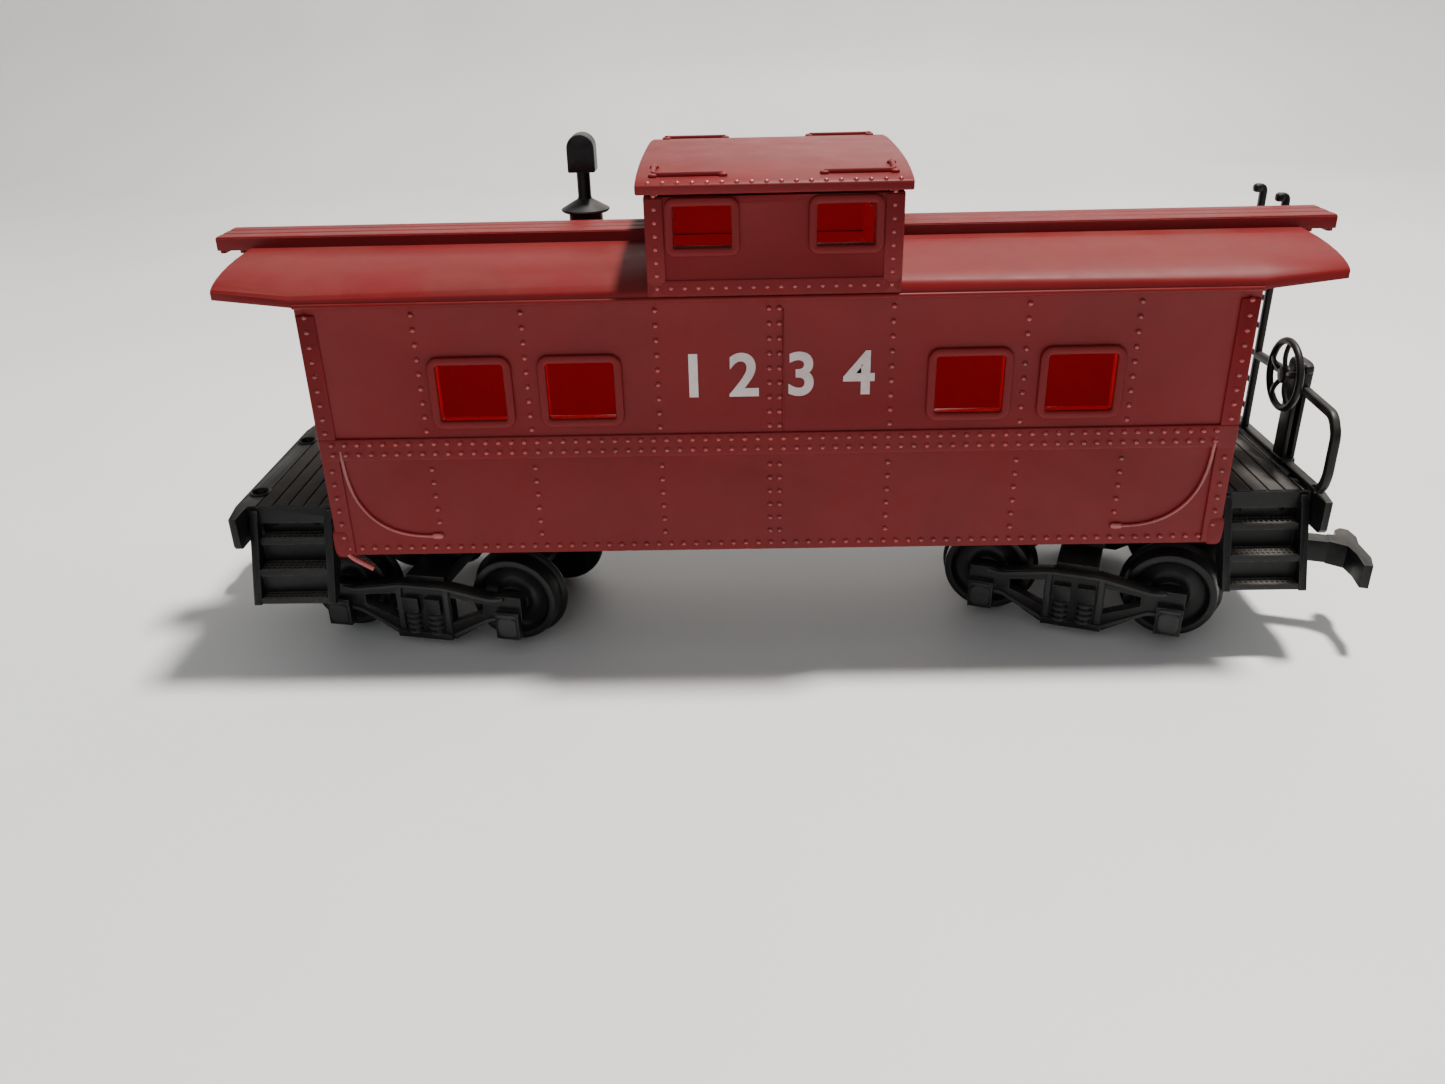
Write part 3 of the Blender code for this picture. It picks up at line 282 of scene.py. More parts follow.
def beam(start: tuple[float, ...], end: tuple[float, ...], profile: np.ndarray, up: Triple) -> Shape:
    """A straight bar of one profile whose last stretch at each end is drawn in a little.

    Args:
        start: middle of the first end.
        end: middle of the last end.
        profile: closed outline, m by 2, as (sideways, upwards).
        up: the direction that the profile's second number goes.

    Returns:
        A closed shape with slightly rounded ends.
    """
    a, b = np.array(start, float), np.array(end, float)
    length = np.linalg.norm(b - a)
    nose = min(0.12, length / 4)
    along = np.array([0.0, nose * 0.3, nose, length - nose, length - nose * 0.3, length])
    heading = (b - a) / length
    side = np.cross(heading, np.array(up, float))
    scale = np.array([0.0, 0.06, 0.12])
    inset = np.concatenate([scale[::-1], scale])
    reach = np.abs(profile).max(0)
    small = 1.0 - inset[:, None, None] / np.maximum(reach, 0.13)[None, None, :]
    shaped = profile[None] * small
    grid = (
        (a + along[:, None] * heading)[:, None, :]
        + shaped[..., :1] * side
        + shaped[..., 1:] * np.array(up, float)
    )
    shape = Shape()
    index = shape.patch(grid, wrap_columns=True)
    shape.cap(index[0])
    shape.cap(index[-1])
    return shape


def turned(profile: np.ndarray, steps: int = 64, ring: bool = False) -> Shape:
    """Turns a profile round the local Z axis.

    Args:
        profile: n by 2, as (radius, height).
        steps: points round the axis.
        ring: whether the profile is a closed loop that stays off the axis.

    Returns:
        The shape, capped at both ends where the profile is open.
    """
    turn = np.linspace(0.0, math.tau, steps, endpoint=False)
    grid = np.stack(
        [
            profile[:, None, 0] * np.cos(turn),
            profile[:, None, 0] * np.sin(turn),
            np.broadcast_to(profile[:, None, 1], (len(profile), steps)),
        ],
        -1,
    )
    shape = Shape()
    index = shape.patch(grid, wrap_rows=ring, wrap_columns=True)
    if not ring:
        shape.cap(index[0])
        shape.cap(index[-1])
    return shape


def soft_block(low: tuple[float, ...], high: tuple[float, ...], power: float = 6.0, steps: int = 28) -> Shape:
    """A box with soft edges: a superellipsoid of two angles, fitted between two corners.

    Args:
        low: the corner with the smallest x, y and z.
        high: the opposite corner.
        power: higher powers give sharper edges.
        steps: points round the block.

    Returns:
        A closed shape.
    """
    share = 2.0 / power
    lift = np.linspace(-math.pi / 2, math.pi / 2, steps // 2 + 1)[1:-1, None]
    turn = np.linspace(0.0, math.tau, steps, endpoint=False)[None, :]

    def bent(value: np.ndarray) -> np.ndarray:
        """Raises a sine or cosine to the share, keeping its sign."""
        return np.sign(value) * np.abs(value) ** share

    grid = np.stack(
        [
            bent(np.cos(lift)) * bent(np.cos(turn)),
            bent(np.cos(lift)) * bent(np.sin(turn)),
            np.broadcast_to(bent(np.sin(lift)), (lift.shape[0], turn.shape[1])),
        ],
        -1,
    )
    a, b = np.array(low, float), np.array(high, float)
    shape = Shape()
    index = shape.patch((a + b) / 2 + grid * (b - a) / 2, wrap_columns=True)
    shape.cap(index[0])
    shape.cap(index[-1])
    return shape


def domes(centres: np.ndarray, normal: Triple, radius: float, height: float) -> Shape:
    """Rivet heads: low domes of 8 sides, each height * cos(a) tall at radius * sin(a).

    Args:
        centres: points on the surface, n by 3.
        normal: the way that the heads stand out, for all of them.
        radius: half of a head's width.
        height: how far a head stands out.

    Returns:
        One shape with a closed dome at each centre, sunk slightly into the surface.
    """
    out = np.array(normal, float)
    out /= np.linalg.norm(out)
    first = np.cross(out, [0.0, 0.0, 1.0] if abs(out[2]) < 0.9 else [1.0, 0.0, 0.0])
    first /= np.linalg.norm(first)
    second = np.cross(out, first)
    turn = np.linspace(0.0, math.tau, 8, endpoint=False)
    fall = np.array([0.42, 0.85, 1.0, 1.0])
    rise = np.array([0.88, 0.42, 0.0, -0.4])
    disc = np.cos(turn)[:, None] * first + np.sin(turn)[:, None] * second
    one = radius * fall[:, None, None] * disc[None] + height * rise[:, None, None] * out
    top = (height * out)[None]
    base = (-0.4 * height * out)[None]
    unit = np.concatenate([top, one.reshape(-1, 3), base])
    ring = 1 + np.arange(32).reshape(4, 8)
    wrapped = np.hstack([ring, ring[:, :1]])
    quads = np.stack([wrapped[:-1, :-1], wrapped[1:, :-1], wrapped[1:, 1:], wrapped[:-1, 1:]], -1)
    tip = np.stack([np.zeros(8, int), ring[0], np.roll(ring[0], -1)], -1)
    foot = np.stack([ring[-1], np.full(8, 33), np.roll(ring[-1], -1)], -1)
    shift = (np.arange(len(centres)) * len(unit))[:, None, None]
    points = (centres[:, None, :] + unit[None]).reshape(-1, 3)
    every_quad = (quads.reshape(-1, 4)[None] + shift).reshape(-1, 4)
    every_triangle = (np.concatenate([tip, foot])[None] + shift).reshape(-1, 3)
    return Shape([points], [every_quad], [every_triangle], len(points))


def make_piece(
    shape: Shape, name: str, material: bpy.types.Material, body: str, crease: float = SOFT_CREASE
) -> bpy.types.Object:
    """Turns a shape into a finished object that rides on a body.

    Args:
        shape: the surfaces, in millimetres.
        name: the piece's name.
        material: its material.
        body: the CAD body that it moves with.
        crease: faces that meet at more than this many degrees keep a sharp edge.

    Returns:
        The new object.
    """
    points = np.concatenate(shape.points) * MM
    faces = [row for quads in shape.quads for row in quads.tolist()]
    faces += [row for triangles in shape.triangles for row in triangles.tolist()]
    mesh = bpy.data.meshes.new(name)
    mesh.from_pydata(points.tolist(), [], faces)
    outward = bmesh.new()
    outward.from_mesh(mesh)
    bmesh.ops.recalc_face_normals(outward, faces=outward.faces)
    outward.to_mesh(mesh)
    outward.free()
    mesh.shade_smooth()
    mesh.set_sharp_from_angle(angle=math.radians(crease))
    mesh.materials.append(material)
    piece = bpy.data.objects.new(name, mesh)
    bpy.context.scene.collection.objects.link(piece)
    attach(piece, body)
    LOG.info("%s: %d points on %s", name, len(points), body)
    return piece


def van_piece(
    parts: list[Shape], name: str, material: bpy.types.Material, crease: float = SOFT_CREASE
) -> bpy.types.Object:
    """Joins several shapes in one piece that rides on the van's own body."""
    return make_piece(together(parts), name, material, "van", crease)


def softened_copy(
    node: str, material: bpy.types.Material, body: str, edge: float
) -> bpy.types.Object:
    """A copy of a CAD node with merged points and softly rounded edges, which replaces the node.

    Args:
        node: the CAD node's name.
        material: the copy's material.
        body: the CAD body that it moves with.
        edge: width of the rounded edges, in millimetres.

    Returns:
        The new object.
    """
    work = bmesh.new()
    work.from_mesh(frame["nodes"][node].data)
    bmesh.ops.remove_doubles(work, verts=work.verts, dist=MERGE_DISTANCE * MM)
    bmesh.ops.dissolve_limit(work, angle_limit=math.radians(FLAT_ANGLE), verts=work.verts, edges=work.edges)
    bmesh.ops.recalc_face_normals(work, faces=work.faces)
    mesh = bpy.data.meshes.new(f"{node}_moulding")
    work.to_mesh(mesh)
    work.free()
    mesh.materials.clear()
    mesh.materials.append(material)
    mesh.shade_smooth()
    copy = bpy.data.objects.new(f"{node}_moulding", mesh)
    bpy.context.scene.collection.objects.link(copy)
    rounding = copy.modifiers.new("soft_edges", "BEVEL")
    rounding.width = edge * MM
    rounding.segments = 2
    rounding.limit_method = "ANGLE"
    rounding.angle_limit = math.radians(ROUNDED_ANGLE)
    rounding.use_clamp_overlap = True
    rounding.harden_normals = True
    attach(copy, body)
    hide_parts(node)
    LOG.info("%s: softened copy on %s", copy.name, body)
    return copy


# ---- Shader groups ----------------------------------------------------------------------
def group_of(
    name: str, inputs: dict[str, object], outputs: dict[str, str], fill: Callable[..., None]
) -> bpy.types.NodeTree:
    """Finds a shader node group or builds it once.

    Args:
        name: the group's name.
        inputs: socket name to its default: a number, or a tuple for a colour.
        outputs: socket name to its socket type.
        fill: puts the nodes in, given the tree, its input node and its output node.

    Returns:
        The node group.
    """
    found = bpy.data.node_groups.get(name)
    if found:
        return found
    tree = bpy.data.node_groups.new(name, "ShaderNodeTree")
    for label, default in inputs.items():
        kind = "NodeSocketColor" if isinstance(default, tuple) else "NodeSocketFloat"
        socket = tree.interface.new_socket(name=label, in_out="INPUT", socket_type=kind)
        socket.default_value = (*default, 1.0) if isinstance(default, tuple) else default
    for label, kind in outputs.items():
        tree.interface.new_socket(name=label, in_out="OUTPUT", socket_type=kind)
    entry = tree.nodes.new("NodeGroupInput")
    leave = tree.nodes.new("NodeGroupOutput")
    fill(tree, entry, leave)
    return tree


@dataclass
class Wiring:
    """Short ways to add and join the nodes of one tree."""

    tree: bpy.types.NodeTree

    def node(self, kind: str, **settings: object) -> bpy.types.Node:
        """A new node of a kind with some properties set.

        Args:
            kind: the node's type.
            settings: properties of the node and their values.

        Returns:
            The node.
        """
        made = self.tree.nodes.new(kind)
        for label, value in settings.items():
            setattr(made, label, value)
        return made

    def join(self, start: bpy.types.NodeSocket, end: bpy.types.NodeSocket) -> None:
        """Links two sockets."""
        self.tree.links.new(start, end)

    def feed(self, value: object, socket: bpy.types.NodeSocket) -> None:
        """Links a socket, or sets a plain value, on an input."""
        if isinstance(value, bpy.types.NodeSocket):
            self.join(value, socket)
        else:
            socket.default_value = value

    def noise(self, scale: object, detail: float = 3.0, roughness: float = 0.55) -> bpy.types.NodeSocket:
        """Noise on Object coordinates, 0 to 1.

        Args:
            scale: a number or a socket.
            detail: how many finer layers it has.
            roughness: how strong the finer layers are.

        Returns:
            The factor socket.
        """
        place = self.node("ShaderNodeTexCoord")
        noise = self.node("ShaderNodeTexNoise")
        noise.inputs["Detail"].default_value = detail
        noise.inputs["Roughness"].default_value = roughness
        self.feed(scale, noise.inputs["Scale"])
        self.join(place.outputs["Object"], noise.inputs["Vector"])
        return noise.outputs["Fac"]

    def ramp(self, value: bpy.types.NodeSocket, low: float, high: float) -> bpy.types.NodeSocket:
        """Stretches a value so that low becomes 0 and high becomes 1, smoothly.

        Args:
            value: the socket to stretch.
            low: the value that becomes 0.
            high: the value that becomes 1.

        Returns:
            The stretched value.
        """
        ramp = self.node("ShaderNodeMapRange", interpolation_type="SMOOTHSTEP")
        self.join(value, ramp.inputs["Value"])
        ramp.inputs["From Min"].default_value = low
        ramp.inputs["From Max"].default_value = high
        return ramp.outputs["Result"]

    def math(self, operation: str, first: object, second: object) -> bpy.types.NodeSocket:
        """One arithmetic step on two values.

        Args:
            operation: the Math node's operation.
            first: a number or a socket.
            second: a number or a socket.

        Returns:
            The result.
        """
        step = self.node("ShaderNodeMath", operation=operation)
        self.feed(first, step.inputs[0])
        self.feed(second, step.inputs[1])
        return step.outputs[0]

    def mix(self, share: object, first: object, second: object) -> bpy.types.NodeSocket:
        """Mixes two colours.

        Args:
            share: how much of the second colour shows, 0 to 1.
            first: a colour or a socket.
            second: a colour or a socket.

        Returns:
            The mixed colour.
        """
        blend = self.node("ShaderNodeMix", data_type="RGBA")
        self.feed(share, blend.inputs[0])
        self.feed(first, blend.inputs[6])
        self.feed(second, blend.inputs[7])
        return blend.outputs[2]


def fill_mottle(tree: bpy.types.NodeTree, entry: bpy.types.Node, leave: bpy.types.Node) -> None:
    """Two tones mixed by broad and fine noise, as in moulded plastic.

    Args:
        tree: the group's tree.
        entry: the group's input node.
        leave: the group's output node.
    """
    wires = Wiring(tree)
    broad = wires.ramp(wires.noise(entry.outputs["Scale"]), 0.35, 0.68)
    fine = wires.ramp(wires.noise(wires.math("MULTIPLY", entry.outputs["Scale"], 9.0)), 0.4, 0.75)
    share = wires.math("ADD", wires.math("MULTIPLY", broad, 0.7), wires.math("MULTIPLY", fine, 0.3))
    scaled = wires.math("MULTIPLY", share, entry.outputs["Contrast"])
    wires.join(wires.mix(scaled, entry.outputs["Colour"], entry.outputs["Second"]), leave.inputs["Colour"])


def fill_dust(tree: bpy.types.NodeTree, entry: bpy.types.Node, leave: bpy.types.Node) -> None:
    """Dust that lies on faces that look up, in drifts, with a few specks everywhere.

    Args:
        tree: the group's tree.
        entry: the group's input node.
        leave: the group's output node.
    """
    wires = Wiring(tree)
    facing = wires.node("ShaderNodeNewGeometry")
    split = wires.node("ShaderNodeSeparateXYZ")
    wires.join(facing.outputs["Normal"], split.inputs[0])
    upward = wires.ramp(split.outputs["Z"], 0.25, 0.95)
    drift = wires.ramp(wires.noise(entry.outputs["Scale"], 4.0, 0.62), 0.38, 0.72)
    film = wires.math("ADD", wires.math("MULTIPLY", drift, 0.75), 0.25)
    lying = wires.math("MULTIPLY", upward, film)
    settled = wires.math("MULTIPLY", lying, entry.outputs["Amount"])
    speck_scale = wires.math("MULTIPLY", entry.outputs["Scale"], 22.0)
    specks = wires.ramp(wires.noise(speck_scale, 1.0, 0.4), 0.73, 0.78)
    lint = wires.math("MULTIPLY", specks, entry.outputs["Specks"])
    mask = wires.math("MAXIMUM", settled, lint)
    wires.join(wires.mix(mask, entry.outputs["Colour"], entry.outputs["Dust"]), leave.inputs["Colour"])
    wires.join(mask, leave.inputs["Mask"])


def fill_wear_and_highlight(tree: bpy.types.NodeTree, entry: bpy.types.Node, leave: bpy.types.Node) -> None:
    """Paler tone along edges, partly wear and partly painted highlight: where a rounded normal leaves the
    true one.

    Args:
        tree: the group's tree.
        entry: the group's input node.
        leave: the group's output node.
    """
    wires = Wiring(tree)
    plain = wires.node("ShaderNodeNewGeometry")
    soft = wires.node("ShaderNodeBevel", samples=4)
    soft.inputs["Radius"].default_value = 0.28 * MM
    match = wires.node("ShaderNodeVectorMath", operation="DOT_PRODUCT")
    wires.join(plain.outputs["Normal"], match.inputs[0])
    wires.join(soft.outputs["Normal"], match.inputs[1])
    # Edge mask: the paler edge tone is partly wear and partly a painted highlight along the rims.
    edge = wires.ramp(match.outputs["Value"], 0.985, 0.86)
    patchy = wires.ramp(wires.noise(1400.0), 0.35, 0.6)
    share = wires.math("MULTIPLY", wires.math("MULTIPLY", edge, patchy), entry.outputs["Amount"])
    wires.join(wires.mix(share, entry.outputs["Colour"], entry.outputs["Worn"]), leave.inputs["Colour"])


def fill_grain(tree: bpy.types.NodeTree, entry: bpy.types.Node, leave: bpy.types.Node) -> None:
    """Height of a moulded skin: fine pits, a broad waviness and a few scratches.

    Args:
        tree: the group's tree.
        entry: the group's input node.
        leave: the group's output node.
    """
    wires = Wiring(tree)
    pits = wires.math("MULTIPLY", wires.noise(entry.outputs["Scale"], 2.0), 0.6)
    wave = wires.noise(wires.math("MULTIPLY", entry.outputs["Scale"], 0.08), 1.0)
    place = wires.node("ShaderNodeTexCoord")
    stretch = wires.node("ShaderNodeMapping")
    stretch.inputs["Scale"].default_value = (300.0, 2500.0, 4000.0)
    stretch.inputs["Rotation"].default_value = (0.2, 0.35, 0.15)
    wires.join(place.outputs["Object"], stretch.inputs["Vector"])
    streaks = wires.node("ShaderNodeTexNoise")
    streaks.inputs["Scale"].default_value = 1.0
    wires.join(stretch.outputs["Vector"], streaks.inputs["Vector"])
    scratch = wires.math("MULTIPLY", wires.ramp(streaks.outputs["Fac"], 0.66, 0.74), -0.5)
    total = wires.math("ADD", wires.math("ADD", pits, wave), scratch)
    wires.join(total, leave.inputs["Height"])


COLOUR_OUT = {"Colour": "NodeSocketColor"}
MOTTLE = (
    "mottled_tone",
    {"Colour": (0.5, 0.5, 0.5), "Second": (0.4, 0.4, 0.4), "Scale": 90.0, "Contrast": 1.0},
    COLOUR_OUT,
    fill_mottle,
)
DUST = (
    "settled_dust",
    {"Colour": (0.5, 0.5, 0.5), "Dust": (0.4, 0.35, 0.3), "Scale": 120.0, "Amount": 0.5, "Specks": 0.2},
    COLOUR_OUT | {"Mask": "NodeSocketFloat"},
    fill_dust,
)
WEAR_AND_HIGHLIGHT = (
    "edge_wear",
    {"Colour": (0.5, 0.5, 0.5), "Worn": (0.7, 0.7, 0.7), "Amount": 0.5},
    COLOUR_OUT,
    fill_wear_and_highlight,
)
GRAIN = ("moulded_grain", {"Scale": 4000.0}, {"Height": "NodeSocketFloat"}, fill_grain)


@dataclass(frozen=True)
class Moulded:
    """A moulded plastic finish: two tones, paler edges that are partly wear and partly painted highlight,
    settled dust, a fine grain, and where set a painted glow.
    """

    name: str
    colour: Colour
    second: Colour
    # Colour of the paler edges: partly wear, partly painted highlight.
    worn: Colour
    dust: Colour
    roughness: float = 0.46
    # Strength of the paler edges: partly wear, partly painted highlight.
    wear_and_highlight: float = 0.4
    dust_amount: float = 0.4
    specks: float = 0.15
    grain_scale: float = 4000.0
    grain_depth: float = 0.004
    translucency: float = 0.0
    # Emission strength: a painted glow on a surface that is no lamp.
    glow: float = 0.0
    sheen: float = 0.22

    def placed_group(self, wires: Wiring, recipe: tuple, **values: object) -> bpy.types.Node:
        """Puts a shared group into the material with this finish's own values.

        Args:
            wires: the material's wiring.
            recipe: the group's name, inputs, outputs and filling function.
            values: input names and their values.

        Returns:
            The group node.
        """
        node = wires.node("ShaderNodeGroup")
        node.node_tree = group_of(*recipe)
        for label, value in values.items():
            wires.feed((*value, 1.0) if isinstance(value, tuple) else value, node.inputs[label])
        return node

    def build(self) -> bpy.types.Material:
        """Builds the material.

        Returns:
            A node material on one Principled shader.
        """
        material = bpy.data.materials.new(self.name)
        material.use_nodes = True
        wires = Wiring(material.node_tree)
        shader = material.node_tree.nodes["Principled BSDF"]
        tone = self.placed_group(wires, MOTTLE, Colour=self.colour, Second=self.second)
        rubbed_and_highlit = self.placed_group(wires, WEAR_AND_HIGHLIGHT, Colour=tone.outputs[0], Worn=self.worn, Amount=self.wear_and_highlight)
        dusted = self.placed_group(
            wires, DUST, Colour=rubbed_and_highlit.outputs[0], Dust=self.dust, Amount=self.dust_amount, Specks=self.specks
        )
        wires.join(dusted.outputs["Colour"], shader.inputs["Base Color"])
        smear = wires.math("MULTIPLY", wires.noise(260.0, 4.0), 0.22)
        gloss = wires.math("ADD", smear, self.roughness - 0.11)
        matt = wires.math("MULTIPLY", dusted.outputs["Mask"], 0.35)
        wires.join(wires.math("ADD", gloss, matt), shader.inputs["Roughness"])
        grain = self.placed_group(wires, GRAIN, Scale=self.grain_scale)
        bump = wires.node("ShaderNodeBump")
        bump.inputs["Distance"].default_value = self.grain_depth * MM
        wires.join(grain.outputs["Height"], bump.inputs["Height"])
        wires.join(bump.outputs["Normal"], shader.inputs["Normal"])
        shader.inputs["IOR"].default_value = 1.5
        shader.inputs["Specular IOR Level"].default_value = self.sheen
        if self.translucency:
            shader.inputs["Subsurface Weight"].default_value = self.translucency
            shader.inputs["Subsurface Radius"].default_value = (1.0, 0.12, 0.1)
            shader.inputs["Subsurface Scale"].default_value = 1.2 * MM
        # Painted glow: the surface emits its own colour though it is no lamp.
        if self.glow:
            shader.inputs["Emission Color"].default_value = (*self.colour, 1.0)
            shader.inputs["Emission Strength"].default_value = self.glow
        return material


@dataclass(frozen=True)
class Steel:
    """Plain rolled steel sheet."""

    name: str
    colour: Colour = (0.36, 0.35, 0.33)
    rust: Colour = (0.16, 0.09, 0.05)

    def build(self) -> bpy.types.Material:
        """Builds the material.

        Returns:
            A metallic material with faint rust.
        """
        material = bpy.data.materials.new(self.name)
        material.use_nodes = True
        wires = Wiring(material.node_tree)
        shader = material.node_tree.nodes["Principled BSDF"]
        patches = wires.ramp(wires.noise(180.0, 5.0), 0.5, 0.75)
        tone = wires.mix(patches, (*self.colour, 1.0), (*self.rust, 1.0))
        wires.join(tone, shader.inputs["Base Color"])
        bare = wires.math("SUBTRACT", 1.0, wires.math("MULTIPLY", patches, 0.7))
        wires.join(bare, shader.inputs["Metallic"])
        wires.join(wires.math("ADD", wires.math("MULTIPLY", patches, 0.3), 0.35), shader.inputs["Roughness"])
        return material


RED_TONE: Colour = (0.158, 0.0045, 0.0065)
RED_SECOND: Colour = (0.134, 0.004, 0.0055)
# Paler red of the edges: partly wear, partly painted highlight.
RED_WORN_AND_HIGHLIGHT: Colour = (0.30, 0.03, 0.028)
DUST_BEIGE: Colour = (0.15, 0.05, 0.035)
BLACK_TONE: Colour = (0.006, 0.006, 0.0065)
BLACK_SECOND: Colour = (0.010, 0.010, 0.0105)
# Paler black of the edges: partly wear, partly painted highlight.
BLACK_WORN_AND_HIGHLIGHT: Colour = (0.09, 0.09, 0.088)
DUST_GREY: Colour = (0.12, 0.105, 0.09)
# Bright red of the hollow's inner faces, shown with a glow: painted light.
RED_LIT: Colour = (0.55, 0.01, 0.014)
RED_LIT_SECOND: Colour = (0.5, 0.008, 0.012)
# Paler red of the rivet tips, grab irons and corner tab: painted highlight.
RED_TIP_HIGHLIGHT: Colour = (0.34, 0.028, 0.026)
DECK_TONE: Colour = (0.03, 0.028, 0.026)
DECK_SECOND: Colour = (0.05, 0.046, 0.04)
RIM_TONE: Colour = (0.035, 0.036, 0.036)
RIM_SECOND: Colour = (0.02, 0.02, 0.021)
BOARD_DARK = (0.70, 0.70, 0.69, 1.0)
BOARD_LIGHT = (0.76, 0.755, 0.74, 1.0)
INK_TONE: Colour = (0.62, 0.56, 0.56)
INK_SECOND: Colour = (0.45, 0.36, 0.36)


@dataclass
class Finishes:
    """Every material of the van, built once."""

    body: bpy.types.Material | None = None
    inside: bpy.types.Material | None = None
    rivets: bpy.types.Material | None = None
    gear: bpy.types.Material | None = None
    deck: bpy.types.Material | None = None
    wheel: bpy.types.Material | None = None
    rim: bpy.types.Material | None = None
    digits: bpy.types.Material | None = None
    steel: bpy.types.Material | None = None

    def build(self) -> "Finishes":
        """Builds all the materials and returns itself.

        Returns:
            Itself, with every field filled.
        """
        red = (RED_TONE, RED_SECOND, RED_WORN_AND_HIGHLIGHT, DUST_BEIGE)
        black = (BLACK_TONE, BLACK_SECOND, BLACK_WORN_AND_HIGHLIGHT, DUST_GREY)
        self.body = Moulded("red_shell", *red, dust_amount=0.28, specks=0.2, translucency=0.05).build()
        # Inner faces of the hollow: brighter red with an emission glow, painted light.
        self.inside = Moulded(
            "red_shell_inside", RED_LIT, RED_LIT_SECOND, RED_WORN_AND_HIGHLIGHT, DUST_BEIGE,
            roughness=0.3, wear_and_highlight=0.0, dust_amount=0.0, specks=0.0, glow=0.16,
        ).build()
        # Rivet tips, grab irons and corner tab: a paler red that is a painted highlight.
        self.rivets = Moulded(
            "red_rivet_tips", RED_TIP_HIGHLIGHT, RED_TONE, RED_WORN_AND_HIGHLIGHT, DUST_BEIGE,
            roughness=0.24, wear_and_highlight=0.0, dust_amount=0.1, sheen=0.9,
        ).build()
        self.gear = Moulded(
            "black_running_gear", *black, roughness=0.4, dust_amount=0.45, specks=0.25
        ).build()
        self.deck = Moulded(
            "black_dusty_deck", DECK_TONE, DECK_SECOND, BLACK_WORN_AND_HIGHLIGHT, DUST_GREY,
            roughness=0.6, dust_amount=0.6, specks=0.35,
        ).build()
        self.wheel = Moulded(
            "black_wheel_plastic", *black, roughness=0.36, wear_and_highlight=0.25, dust_amount=0.25
        ).build()
        self.rim = Moulded(
            "black_rim_dusty", RIM_TONE, RIM_SECOND, BLACK_WORN_AND_HIGHLIGHT, DUST_GREY,
            roughness=0.5, dust_amount=0.3, specks=0.3,
        ).build()
        self.digits = Moulded(
            "printed_white", INK_TONE, INK_SECOND, RED_WORN_AND_HIGHLIGHT, DUST_BEIGE,
            roughness=0.6, wear_and_highlight=0.0, dust_amount=0.0, specks=0.0, grain_depth=0.01,
        ).build()
        self.steel = Steel("weight_sheet").build()
        return self


